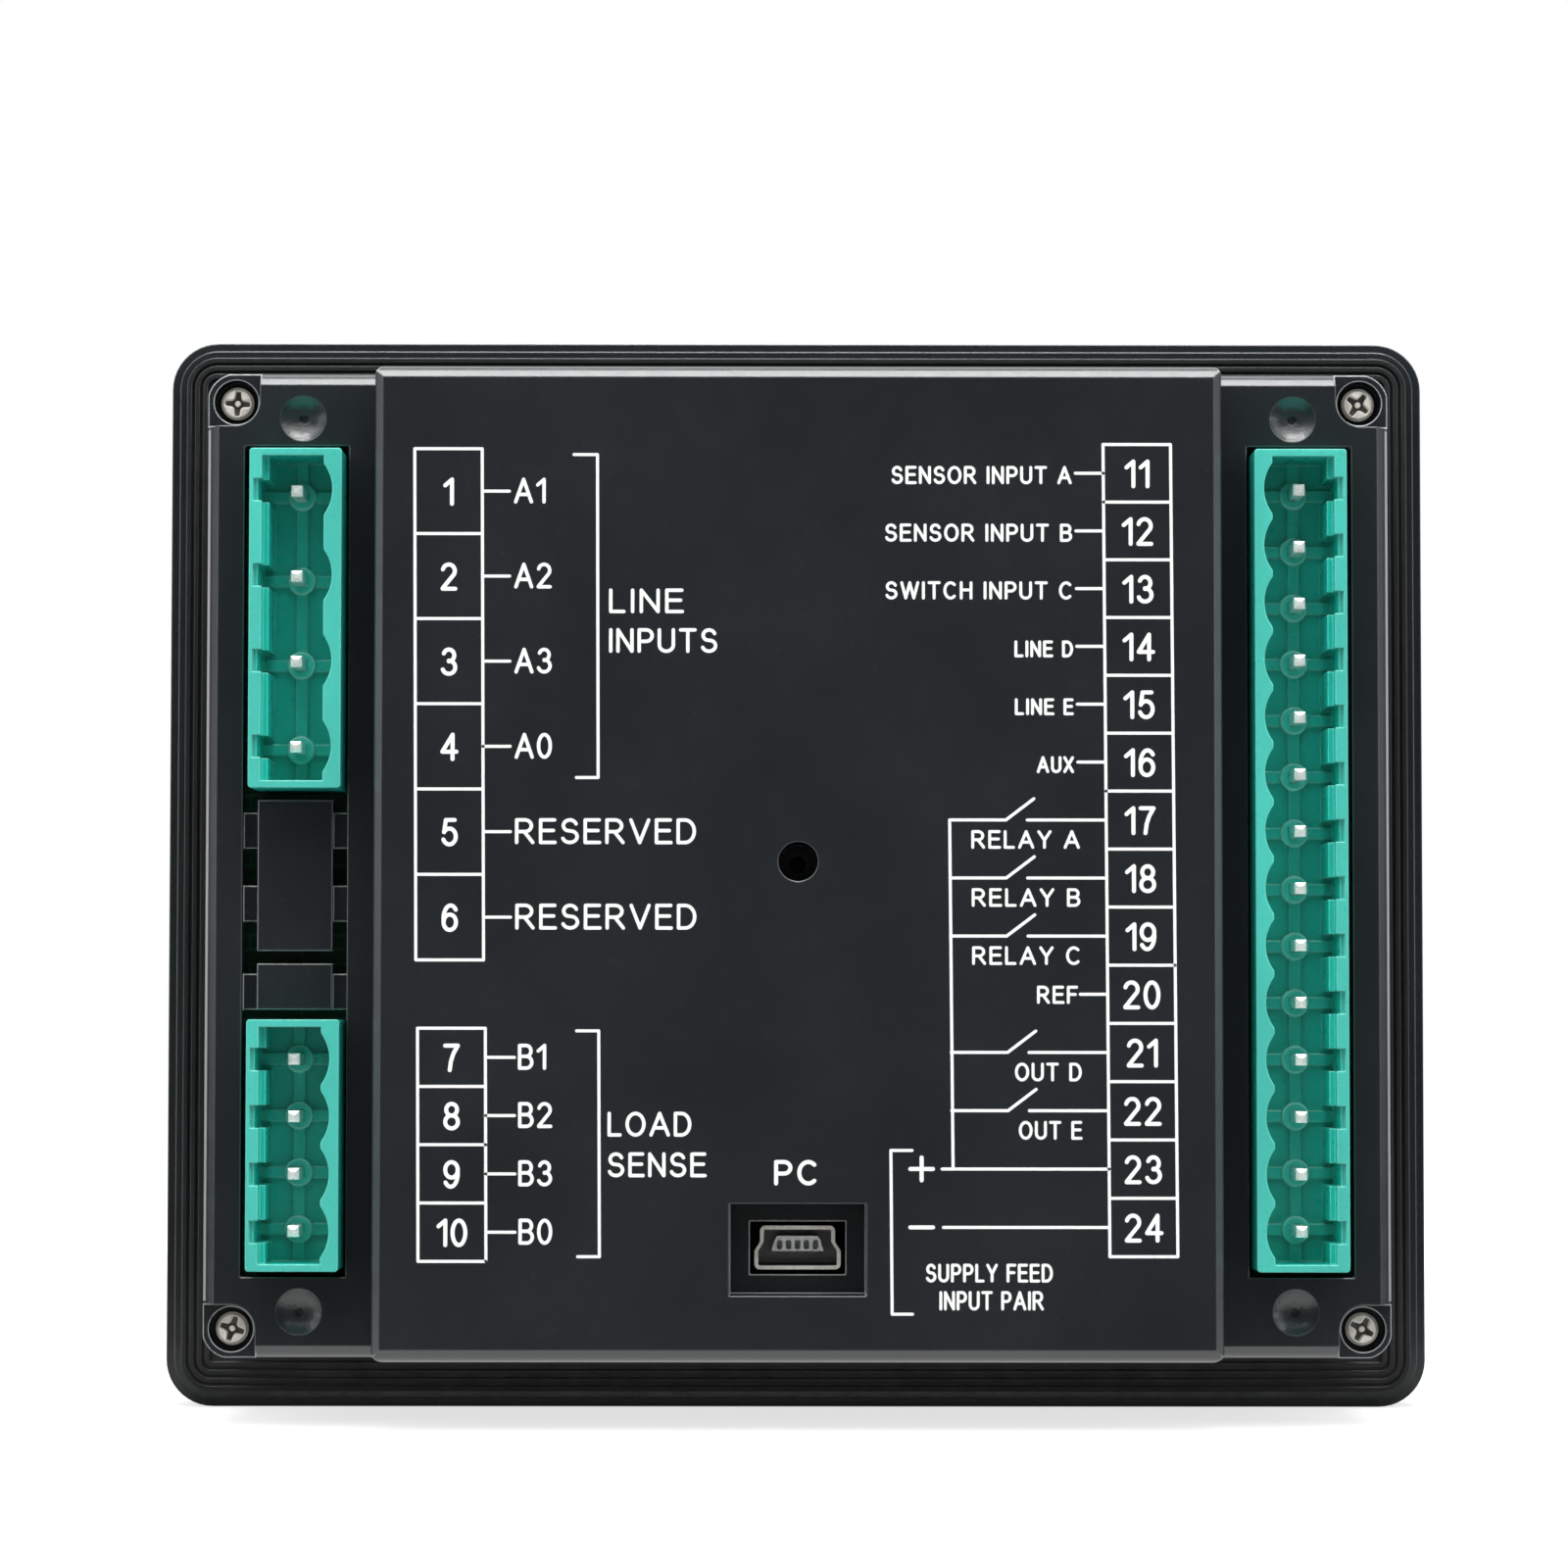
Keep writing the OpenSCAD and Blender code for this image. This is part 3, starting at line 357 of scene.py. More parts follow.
def clear_lamp():
    """Milky lens of a lamp that is off."""
    f = Finish("lamp_diffuse", Transmission_Weight=0.6, IOR=1.49)
    f.set(Base_Color=f.blend(f.cloud(1.5, 2), (0.72, 0.75, 0.77, 1), (0.80, 0.82, 0.83, 1)))
    f.set(Roughness=f.cloud(0.5, 3, 0.15, 0.3))
    return f


def board():
    """Solder resist with the faint raised lines of its tracks."""
    run, pitch, track = 7.5, 1.27, 0.18
    f = Finish("board_resist", Specular_IOR_Level=0.5)
    tracks = f.tiles(run, pitch, track, 0.3, 0.37)[1]
    f.set(Base_Color=f.blend(tracks, (0.010, 0.085, 0.040, 1), (0.020, 0.135, 0.062, 1)))
    f.set(Roughness=f.cloud(1.5, 3, 0.28, 0.4))
    f.set(Normal=f.relief(tracks, 0.6, 0.03))
    return f


charcoal = cover_black()
green = green_plastic()
nickel = plated("bright_nickel", (0.80, 0.79, 0.76), 0.18)
tin = plated("bright_tin", (0.93, 0.93, 0.91), 0.3, metal=0.4)
white_ink = ink("print_white", (0.86, 0.87, 0.86))
finishes = {
    "front_bezel": charcoal, "rear_cover": charcoal,
    "front_overlay": film(), "display_window": lens(), "panel_gasket": rubber(),
    "corner_screws": nickel, "board_screws": nickel,
    "voltage_header": green, "current_header": green, "io_header": green,
    "voltage_pins": tin, "current_pins": tin, "io_pins": tin,
    # Painted shade: the socket's shell turns dark from 0.35 to 0.6 mm down from its rim, inside the socket
    "usb_shell": dull_nickel("socket_nickel", "usb_shell", deep=0.60, clear=0.35, metal=0.05, edge=0.12,
                             dark=0.014),
    "usb_insert": moulded("socket_grey", (0.80, 0.81, 0.82), 0.45, edge=0.05),
    "usb_contacts": plated("contact_gilt", (0.82, 0.60, 0.25), 0.2),
    "board_link": moulded("link_black", (0.02, 0.02, 0.021), 0.5),
    "lcd_frame": plated("display_steel", (0.10, 0.105, 0.11), 0.4),
    "lcd_glass": display(),
    "lcd_backlight": moulded("diffuser_white", (0.78, 0.80, 0.80), 0.5),
    "status_lamps": clear_lamp(),
    "key_switches": moulded("switch_dark", (0.02, 0.02, 0.022), 0.45),
    "output_relays": moulded("relay_case", (0.035, 0.075, 0.19), 0.4),
    "sensing_transformers": moulded("potting_black", (0.018, 0.018, 0.02), 0.5),
    "supply_capacitors": moulded("sleeve_navy", (0.03, 0.035, 0.10), 0.3),
    "processor_chip": moulded("chip_epoxy", (0.014, 0.014, 0.015), 0.55),
    "stop_key": moulded("key_red_satin", (0.50, 0.030, 0.022), 0.4, edge=0.1),
    "start_key": moulded("key_green_satin", (0.025, 0.26, 0.065), 0.4, edge=0.1),
}
grey_key = moulded("key_grey_satin", (0.17, 0.185, 0.20), 0.4, edge=0.1)
grey_plunger = moulded("plunger_white", (0.55, 0.56, 0.57), 0.4)
resist = board()
for name in ("manual_key", "auto_key", "up_key", "down_key"):
    finishes[name] = grey_key
for name in nodes:
    if name.endswith("_plunger"):
        finishes[name] = grey_plunger
    if name.endswith("_board"):
        finishes[name] = resist
for name, node in nodes.items():
    node.data.materials.clear()
    node.data.materials.append(finishes[name].material)


# Pieces
def piece(name, bm, finish, body, smooth=False):
    """A new piece from a bmesh, in metres, that rides on a body."""
    bmesh.ops.recalc_face_normals(bm, faces=bm.faces)
    mesh = bpy.data.meshes.new(name)
    bm.to_mesh(mesh)
    bm.free()
    for polygon in mesh.polygons:
        polygon.use_smooth = smooth
    mesh.materials.append(finish.material)
    obj = bpy.data.objects.new(name, mesh)
    scene.collection.objects.link(obj)
    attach(obj, body)
    return obj


def bow(x, y, rx, ry, start, end, steps=12):
    """Points along part of an ellipse, angles in degrees."""
    turns = [math.radians(start + (end - start) * i / steps) for i in range(steps + 1)]
    return [(x + rx * math.cos(t), y + ry * math.sin(t)) for t in turns]


# Letters of one stroke width: how wide the middle lines reach, and the strokes, for a height of one
STEM = [(0, 0), (0, 1)]
LETTERS = {
    " ": (0.16, []),
    "0": (0.52, [bow(0.26, 0.5, 0.26, 0.5, 0, 360, 28)]),
    "1": (0.28, [[(0, 0.76), (0.28, 1)], [(0.28, 1), (0.28, 0)]]),
    "2": (0.54, [bow(0.27, 0.73, 0.25, 0.27, 165, -28), [(0.49, 0.60), (0.02, 0.02)],
                 [(0.02, 0), (0.54, 0)]]),
    "3": (0.53, [bow(0.26, 0.755, 0.22, 0.245, 160, -90), bow(0.26, 0.27, 0.265, 0.27, 90, -160)]),
    "4": (0.56, [[(0.42, 0), (0.42, 1)], [(0.42, 1), (0, 0.3)], [(0, 0.3), (0.58, 0.3)]]),
    "5": (0.53, [[(0.48, 1), (0.12, 1)], [(0.12, 1), (0.05, 0.50)],
                 bow(0.265, 0.325, 0.265, 0.325, 143, -158, 16)]),
    "6": (0.52, [bow(0.27, 0.315, 0.255, 0.315, 0, 360, 24), bow(0.30, 0.48, 0.285, 0.52, 42, 190, 14)]),
    "7": (0.52, [[(0, 1), (0.52, 1)], [(0.52, 1), (0.35, 0.70), (0.24, 0.37), (0.19, 0)]]),
    "8": (0.52, [bow(0.26, 0.76, 0.22, 0.24, 0, 360, 24), bow(0.26, 0.265, 0.26, 0.265, 0, 360, 24)]),
    "9": (0.52, [bow(0.25, 0.685, 0.255, 0.315, 0, 360, 24), bow(0.22, 0.52, 0.285, 0.52, -138, 10, 14)]),
    "A": (0.70, [[(0, 0), (0.35, 1)], [(0.35, 1), (0.70, 0)], [(0.12, 0.33), (0.58, 0.33)]]),
    "B": (0.54, [STEM, [(0, 1)] + bow(0.30, 0.76, 0.20, 0.24, 90, -90) + [(0, 0.52)],
                 [(0, 0.52)] + bow(0.29, 0.26, 0.25, 0.26, 90, -90) + [(0, 0)]]),
    "C": (0.62, [bow(0.33, 0.5, 0.33, 0.5, 48, 312, 20)]),
    "D": (0.58, [STEM, [(0, 1)] + bow(0.24, 0.5, 0.34, 0.5, 90, -90, 16) + [(0, 0)]]),
    "E": (0.50, [STEM, [(0, 1), (0.50, 1)], [(0, 0.53), (0.46, 0.53)], [(0, 0), (0.52, 0)]]),
    "F": (0.46, [STEM, [(0, 1), (0.48, 1)], [(0, 0.53), (0.41, 0.53)]]),
    "H": (0.56, [STEM, [(0.56, 0), (0.56, 1)], [(0, 0.53), (0.56, 0.53)]]),
    "I": (0.0, [STEM]),
    "L": (0.44, [STEM, [(0, 0), (0.44, 0)]]),
    "N": (0.56, [STEM, [(0, 1), (0.56, 0)], [(0.56, 0), (0.56, 1)]]),
    "O": (0.68, [bow(0.34, 0.5, 0.34, 0.5, 0, 360, 28)]),
    "P": (0.52, [STEM, [(0, 1)] + bow(0.28, 0.73, 0.24, 0.27, 90, -90) + [(0, 0.46)]]),
    "R": (0.58, [STEM, [(0, 1)] + bow(0.29, 0.74, 0.24, 0.26, 90, -90) + [(0, 0.48)],
                 [(0.27, 0.48), (0.58, 0)]]),
    "S": (0.54, [bow(0.27, 0.75, 0.235, 0.25, 18, 240) + bow(0.27, 0.26, 0.265, 0.26, 65, -162, 14)]),
    "T": (0.58, [[(0, 1), (0.58, 1)], [(0.29, 1), (0.29, 0)]]),
    "U": (0.56, [[(0, 1), (0, 0.3)] + bow(0.28, 0.29, 0.28, 0.29, 180, 360, 14) + [(0.56, 1)]]),
    "V": (0.64, [[(0, 1), (0.32, 0)], [(0.32, 0), (0.64, 1)]]),
    "W": (0.92, [[(0, 1), (0.23, 0)], [(0.23, 0), (0.46, 1)], [(0.46, 1), (0.69, 0)],
                 [(0.69, 0), (0.92, 1)]]),
    "X": (0.58, [[(0, 0), (0.58, 1)], [(0, 1), (0.58, 0)]]),
    "Y": (0.60, [[(0, 1), (0.30, 0.46)], [(0.60, 1), (0.30, 0.46)], [(0.30, 0.46), (0.30, 0)]]),
}

# Ink in millimetres: its thickness, how far it is sunk, and the small steps between sheets that cross
INK = 0.02
SUNK = 0.008
STAGGER = 0.0005
STEPS = 7

# Stroke widths of the print in millimetres
LINE = 0.27
ARC_LINE = 0.29
SMALL_INK = 0.26
TEXT_INK = 0.31
HEAVY_INK = 0.36

# Gap between letters as a share of their height, steps round the end of a stroke, and least cosine at a bend
LETTER_GAP = 0.11
ROUND_END = 6
SHARPEST = 0.7


class Print:
    """Flat ink on a face. Places are read as seen: right is +1 and up is +Z, in millimetres.

    The face looks along +Y when it is the rear, where right is -X, and along -Y when it is the front.
    """

    def __init__(self, level, rear):
        self.bm = bmesh.new()
        self.level = level
        self.sheets = 0
        self.turn = -1 if rear else 1
        self.out = 1 if rear else -1

    def sheet(self, corners, faces):
        """Adds flat faces and gives them the thickness of the ink; no two that cross lie at one height."""
        rows = []
        self.sheets += 1
        for lift in (INK - SUNK - self.sheets % STEPS * STAGGER, -SUNK):
            y = (self.level + self.out * lift) * MM
            rows.append([self.bm.verts.new((self.turn * a * MM, y, b * MM)) for a, b in corners])
        edges = set()
        for face in faces:
            self.bm.faces.new([rows[0][i] for i in face])
            edges.update(zip(face, face[1:] + face[:1]))
        for i, j in sorted(edges):
            if (j, i) not in edges:
                self.bm.faces.new([rows[0][j], rows[0][i], rows[1][i], rows[1][j]])

    def stroke(self, points, width):
        """A ribbon of even width with round ends; it closes where the last point is the first one."""
        line = [Vector(p) for p in points]
        ways = [(b - a).normalized() for a, b in zip(line, line[1:])]
        closed = (line[0] - line[-1]).length < 1e-6
        before = [ways[-1] if closed else ways[0]] + ways
        after = ways + [ways[0] if closed else ways[-1]]
        corners = []
        for p, a, b in zip(line, before, after):
            way = (a + b).normalized()
            side = Vector((-way.y, way.x)) * width / 2 / max(SHARPEST, way.dot(a))
            corners += [p + side, p - side]
        faces = [(2 * i, 2 * i + 1, 2 * i + 3, 2 * i + 2) for i in range(len(ways))]
        if not closed:
            for end, way, edge in ((line[0], -ways[0], (1, 0)), (line[-1], ways[-1], (-2, -1))):
                start = math.atan2(way.y, way.x) - math.pi / 2
                count = len(corners)
                edge = tuple(k % (2 * len(line)) for k in edge)
                for k in range(1, ROUND_END):
                    t = start + k * math.pi / ROUND_END
                    corners.append(end + Vector((math.cos(t), math.sin(t))) * width / 2)
                faces.append(edge + tuple(range(count, count + ROUND_END - 1)))
        self.sheet(corners, faces)

    def line(self, a, b, width=LINE):
        self.stroke((a, b), width)

    def path(self, *points):
        for a, b in zip(points, points[1:]):
            self.line(a, b)

    def arc(self, x, z, r, start, end, width=ARC_LINE, n=40):
        """Part of a ring, angles in degrees."""
        corners = []
        for i in range(n + 1):
            t = math.radians(start + (end - start) * i / n)
            for reach in (r - width / 2, r + width / 2):
                corners.append((x + reach * math.cos(t), z + reach * math.sin(t)))
        self.sheet(corners, [(2 * i, 2 * i + 1, 2 * i + 3, 2 * i + 2) for i in range(n)])

    def text(self, body, x, z, cap, width=None, align=0.0, ink=TEXT_INK):
        """Text with its foot at z; align 0 starts at x, 1 ends there and 0.5 is centred."""
        up = cap - ink
        space = ink + LETTER_GAP * cap
        span = sum(LETTERS[c][0] for c in body) * up + (len(body) - 1) * space
        along = (width - ink) / span if width else 1.0
        start = x + ink / 2 - align * (span * along + ink)
        for c in body:
            reach, strokes = LETTERS[c]
            for points in strokes:
                self.stroke([(start + a * up * along, z + ink / 2 + b * up) for a, b in points], ink)
            start += (reach * up + space) * along

    def done(self, name, body):
        piece(name, self.bm, white_ink, body)


# Print of the rear cover
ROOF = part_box("rear_cover")[1].y / MM
LEAN = 0.0063
UPPER_EDGE = -27.80
LOWER_EDGE = -27.66
RIGHT_EDGE = 27.25
COMMON_X = 13.41
BOX_W = 5.98
HEADING_CAP = 2.2
NUMBER_DROP = 0.05
rear = Print(ROOF, True)


def slanted(x, z):
    """The whole print leans a little to the left at its top."""
    return x - LEAN * z, z


def level_line(start, end, z):
    rear.line(slanted(start, z), slanted(end, z))


def label(word, x, row, drop, cap, **options):
    """A word beside the middle of a row, with its foot a little lower."""
    rear.text(word, slanted(x, row)[0], row - drop, cap, **options)


def ladder(left, right, top, bottom, count, first, cap):
    """A column of numbered boxes; returns the middle height of each row."""
    step = (top - bottom) / count
    for x in (left, right):
        rear.line(slanted(x, top), slanted(x, bottom))
    middles = []
    for i in range(count + 1):
        z = top - i * step
        level_line(left, right, z)
        if i < count:
            middles.append(z - step / 2)
            label(str(first + i), (left + right) / 2, z - step / 2, cap / 2 + NUMBER_DROP, cap,
                  align=0.5, ink=HEAVY_INK)
    return middles


def left_words(rows, words, edge, lead_end, start):
    """Signs of two letters beside the boxes on the left, and longer words of one width."""
    cap, drop, long_width = 2.3, 1.1, 16.0
    for z, word in zip(rows, words):
        level_line(edge, lead_end, z)
        label(word, start, z, drop, cap, width=long_width if len(word) > 2 else None)


def sensor(z, word, width, cap):
    """A row of the right column with a short lead and its word."""
    lead_start, word_end, drop = 24.78, 24.45, 0.98
    level_line(lead_start, RIGHT_EDGE, z)
    label(word, word_end, z, drop, cap, width=width, align=1, ink=SMALL_INK)


def switch(z, word, width):
    """A row of the right column with an open switch that leads to the common line."""
    pivot, tip, rise, contact = 18.38, 20.87, 1.88, 20.26
    word_end, drop, cap = 24.92, 2.55, 1.65
    rear.path(slanted(COMMON_X, z), slanted(pivot, z), slanted(tip, z + rise))
    level_line(contact, RIGHT_EDGE, z)
    label(word, word_end, z, drop, cap, width=width, align=1, ink=SMALL_INK)


upper = ladder(UPPER_EDGE - BOX_W, UPPER_EDGE, top=36.58, bottom=-8.72, count=6, first=1, cap=2.52)
lower = ladder(LOWER_EDGE - BOX_W, LOWER_EDGE, top=-14.74, bottom=-35.23, count=4, first=7, cap=2.52)
right = ladder(RIGHT_EDGE, RIGHT_EDGE + BOX_W, top=37.02, bottom=-34.78, count=14, first=11, cap=2.56)
left_words(upper, ("A1", "A2", "A3", "A0", "RESERVED", "RESERVED"), UPPER_EDGE, -25.40, -25.0)
left_words(lower, ("B1", "B2", "B3", "B0"), LOWER_EDGE, -25.10, -24.8)

BRACKETS = (
    ((-19.89, 36.07), (-17.81, 36.07), (-17.68, 7.40), (-19.60, 7.40)),
    ((-19.52, -14.96), (-17.57, -14.96), (-17.46, -34.81), (-19.38, -34.81)),
    ((10.06, -25.46), (8.19, -25.46), (8.30, -39.83), (10.10, -39.83)),
)
for bracket in BRACKETS:
    rear.path(*bracket)
HEADINGS = (("LINE", -16.76, 21.97, 6.6), ("INPUTS", -16.75, 18.45, 9.6),
            ("LOAD", -16.78, -24.27, 7.4), ("SENSE", -16.77, -27.84, 8.7))
for word, x, z, width in HEADINGS:
    rear.text(word, x, z, HEADING_CAP, width=width)
rear.text("PC", -2.1, -28.55, 2.25, width=3.9, ink=HEAVY_INK)

SENSORS = (("SENSOR INPUT A", 16.0, 1.62), ("SENSOR INPUT B", 16.6, 1.62), ("SWITCH INPUT C", 16.6, 1.62),
           ("LINE D", 5.2, 1.5), ("LINE E", 5.2, 1.5), ("AUX", 3.3, 1.5))
for z, (word, width, cap) in zip(right, SENSORS):
    sensor(z, word, width, cap)

# Rows of the right column, counted from nought: the switches on one common line, a reference and the supply
SWITCHES = {6: ("RELAY A", 9.6), 7: ("RELAY B", 9.6), 8: ("RELAY C", 9.6), 10: ("OUT D", 5.9),
            11: ("OUT E", 5.6)}
REF_ROW = 9
PLUS_ROW = 12
MINUS_ROW = 13
rear.line((13.39, right[6]), (13.67, right[PLUS_ROW]))
for row, (word, width) in SWITCHES.items():
    switch(right[row], word, width)
level_line(24.83, RIGHT_EDGE, right[REF_ROW])
rear.text("REF", 24.68, right[REF_ROW] - 0.85, 1.6, width=3.6, align=1, ink=SMALL_INK)

SIGN_X = 10.9
SIGN_HALF = 1.0
for row, start in ((PLUS_ROW, 12.70), (MINUS_ROW, 12.81)):
    rear.line((start, right[row]), slanted(RIGHT_EDGE, right[row]))
for row in (PLUS_ROW, MINUS_ROW):
    rear.line((SIGN_X - SIGN_HALF, right[row]), (SIGN_X + SIGN_HALF, right[row]), HEAVY_INK)
rear.line((SIGN_X, right[PLUS_ROW] - SIGN_HALF), (SIGN_X, right[PLUS_ROW] + SIGN_HALF), HEAVY_INK)
rear.text("SUPPLY FEED", 11.25, -37.05, 1.65, width=11.2, ink=SMALL_INK)
rear.text("INPUT PAIR", 12.45, -39.50, 1.7, width=9.2, ink=SMALL_INK)
rear.done("rear_print", "housing")


# Print of the front overlay
def middle(node):
    lo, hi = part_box(node)
    return (lo.x + hi.x) / 2 / MM, (lo.z + hi.z) / 2 / MM


def frame_line(target, lo, hi, gap, r):
    """A line with round corners round a box, at some gap from it."""
    x0, z0 = lo.x / MM - gap, lo.z / MM - gap
    x1, z1 = hi.x / MM + gap, hi.z / MM + gap
    for z in (z0, z1):
        target.line((x0 + r, z), (x1 - r, z))
    for x in (x0, x1):
        target.line((x, z0 + r), (x, z1 - r))
    corners = ((x0 + r, z0 + r, 180), (x1 - r, z0 + r, 270), (x1 - r, z1 - r, 0), (x0 + r, z1 - r, 90))
    for x, z, start in corners:
        target.arc(x, z, r, start, start + 90)


LAMP_RING_R = 2.4
LAMP_LINE = 0.25
LEAD_TOP = 2.6
LEAD_FOOT = 7.4
front = Print(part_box("front_overlay")[0].y / MM, False)
frame_line(front, *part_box("display_window"), gap=1.5, r=3.5)
lamp_z = middle("status_lamps")[1]
for key in ("stop_key", "manual_key", "auto_key", "start_key"):
    x, z = middle(key)
    front.arc(x, lamp_z, LAMP_RING_R, 0, 360, LAMP_LINE)
    front.line((x, lamp_z - LEAD_TOP), (x, z + LEAD_FOOT), LAMP_LINE)
front.done("overlay_print", "housing")


# Marks of the keys, each drawn about the middle of its key
def stop_mark(mark, x, z):
    r, width = 2.6, 0.75
    mark.arc(x, z, r, 0, 360, width)


def start_mark(mark, x, z):
    half, width = 2.4, 0.8
    mark.line((x, z - half), (x, z + half), width)


def manual_mark(mark, x, z):
    """A raised hand: four fingers, a thumb and the palm."""
    width, step, foot = 0.72, 0.9, -0.6
    palm = ((-1.71, foot), (-1.6, -1.9), (-0.9, -2.8), (0.9, -2.8), (1.75, -1.8), (1.71, foot))
    for i, top in enumerate((1.7, 2.6, 2.7, 2.0)):
        at = x + (i - 1.5) * step
        mark.line((at, z + foot), (at, z + top), width)
    mark.line((x + 1.5, z - 1.6), (x + 2.75, z + 0.2), width)
    mark.sheet([(x + a, z + b) for a, b in palm], [tuple(range(len(palm)))])


def auto_mark(mark, x, z):
    cap, width, stroke = 2.4, 8.6, 0.42
    mark.text("AUTO", x, z - cap / 2, cap, width=width, align=0.5, ink=stroke)


def arrow_mark(mark, x, z, way):
    half, foot, tip = 2.3, 1.7, 2.1
    mark.sheet([(x - half, z - way * foot), (x + half, z - way * foot), (x, z + way * tip)], [(0, 1, 2)])


def up_mark(mark, x, z):
    arrow_mark(mark, x, z, 1)


def down_mark(mark, x, z):
    arrow_mark(mark, x, z, -1)


MARKS = {"stop": stop_mark, "start": start_mark, "manual": manual_mark, "auto": auto_mark,
         "up": up_mark, "down": down_mark}
for key, draw in MARKS.items():
    mark = Print(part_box(key + "_key")[0].y / MM, False)
    draw(mark, *middle(key + "_key"))
    mark.done(key + "_mark", key + "_button")


# Corner screws with a cross recess, in millimetres
HEAD_R = 1.42
HEAD_T = 1.3
SHOULDER_R = 1.2
SHANK_R = 1.0
TIP_R = 0.35
TIP_T = 0.5
PLAIN_HEAD_R = 1.6
TURNS = ((1, 1, 4), (-1, 1, 36), (1, -1, 17), (-1, -1, 28))


def ramp(value):
    return max(0.0, min(1.0, value))


def screw_fall(r, angle):
    """How far the head lies below its highest point at polar place r, angle."""
    crown = 0.24 * (r / HEAD_R) ** 2
    shoulder = 0.26 * max(0.0, (r - SHOULDER_R) / (HEAD_R - SHOULDER_R)) ** 2
    x, z = abs(r * math.cos(angle)), abs(r * math.sin(angle))
    across, along = min(x, z), max(x, z)
    slot_half = 0.34 - 0.10 * along
    slot = ramp((slot_half - across) / 0.07 + 0.5) * ramp((1.16 - along) / 0.08)
    core = ramp((0.56 - r) / 0.10 + 0.5)
    nub = ramp((0.34 - r) / 0.12)
    depth = max(slot * (0.85 - 0.33 * along), core * (0.72 - 0.3 * r))
    return crown + shoulder + depth * (1 - 0.62 * nub)


def screws():
    lo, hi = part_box("corner_screws")
    top, tip = hi.y / MM, lo.y / MM
    seat = top - HEAD_T
    around, rings = 96, 34
    profile = [(HEAD_R * (i + 1) / rings, None) for i in range(rings)]
    profile += [(HEAD_R + 0.04, top - 0.42), (HEAD_R + 0.06, top - 0.6), (HEAD_R + 0.06, seat + 0.06)]
    profile += [(HEAD_R, seat), (SHANK_R, seat), (SHANK_R, tip + TIP_T), (TIP_R, tip)]
    bm = bmesh.new()
    for side, rise, turn in TURNS:
        x, z = side * (hi.x / MM - PLAIN_HEAD_R), rise * (hi.z / MM - PLAIN_HEAD_R)
        loops = []
        for r, y in profile:
            loop = []
            for k in range(around):
                a = k * math.tau / around
                level = top - screw_fall(r, a) if y is None else y
                b = a + math.radians(turn)
                place = Vector((x + r * math.cos(b), level, z + r * math.sin(b)))
                loop.append(bm.verts.new(place * MM))
            loops.append(loop)
        hub = bm.verts.new(Vector((x, top - screw_fall(0, 0), z)) * MM)
        for k in range(around):
            after = (k + 1) % around
            bm.faces.new((hub, loops[0][k], loops[0][after]))
            for inner, outer in zip(loops, loops[1:]):
                bm.faces.new((inner[k], outer[k], outer[after], inner[after]))
        bm.faces.new(loops[-1])
    # Painted shade: dark deep in the cross recess and down the side of the head
    finish = dull_nickel("screw_plated", "corner_screws", deep=0.65, clear=0.45, metal=0.15, edge=0.06,
                         dark=0.075)
    obj = piece("cross_screws", bm, finish, "housing", smooth=True)
    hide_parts("corner_screws")


screws()


# Camera, floor and light
def turned(a, b, t):
    return a * math.cos(t) + b * math.sin(t), b * math.cos(t) - a * math.sin(t)


def place_camera():
    """The camera that was fitted to the photograph: it looks at the rear from a little below the middle."""
    yaw, pitch, roll = -0.002783, 0.048877, 0.000838
    place = Vector((2.5094, 482.5415, -15.2896)) * MM
    focal_px, picture_px, sensor = 5230.71, 1600, 36
    side, up, ahead = Vector((-1, 0, 0)), Vector((0, 0, 1)), Vector((0, -1, 0))
    side, ahead = turned(side, ahead, yaw)
    ahead, up = turned(ahead, up, pitch)
    side, up = turned(side, up, roll)
    data = bpy.data.cameras.new("camera")
    data.sensor_width = sensor
    data.lens = sensor * focal_px / picture_px
    data.clip_start = 0.01
    obj = bpy.data.objects.new("camera", data)
    basis = Matrix((side, up, -ahead)).transposed().to_4x4()
    obj.matrix_world = Matrix.Translation(place) @ basis
    scene.collection.objects.link(obj)
    scene.camera = obj


def softbox(name, place, width, height, radiance, mirrored=True):
    """A lamp that looks at the object; one that isn't mirrored gives no reflection."""
    target = Vector((0, 0.01, 0))
    data = bpy.data.lights.new(name, "AREA")
    data.shape = "RECTANGLE"
    data.size, data.size_y = width, height
    data.energy = radiance * math.pi * width * height
    obj = bpy.data.objects.new(name, data)
    way = target - Vector(place)
    obj.matrix_world = Matrix.Translation(place) @ way.to_track_quat("-Z", "Y").to_matrix().to_4x4()
    obj.visible_camera = False
    obj.visible_glossy = mirrored
    scene.collection.objects.link(obj)


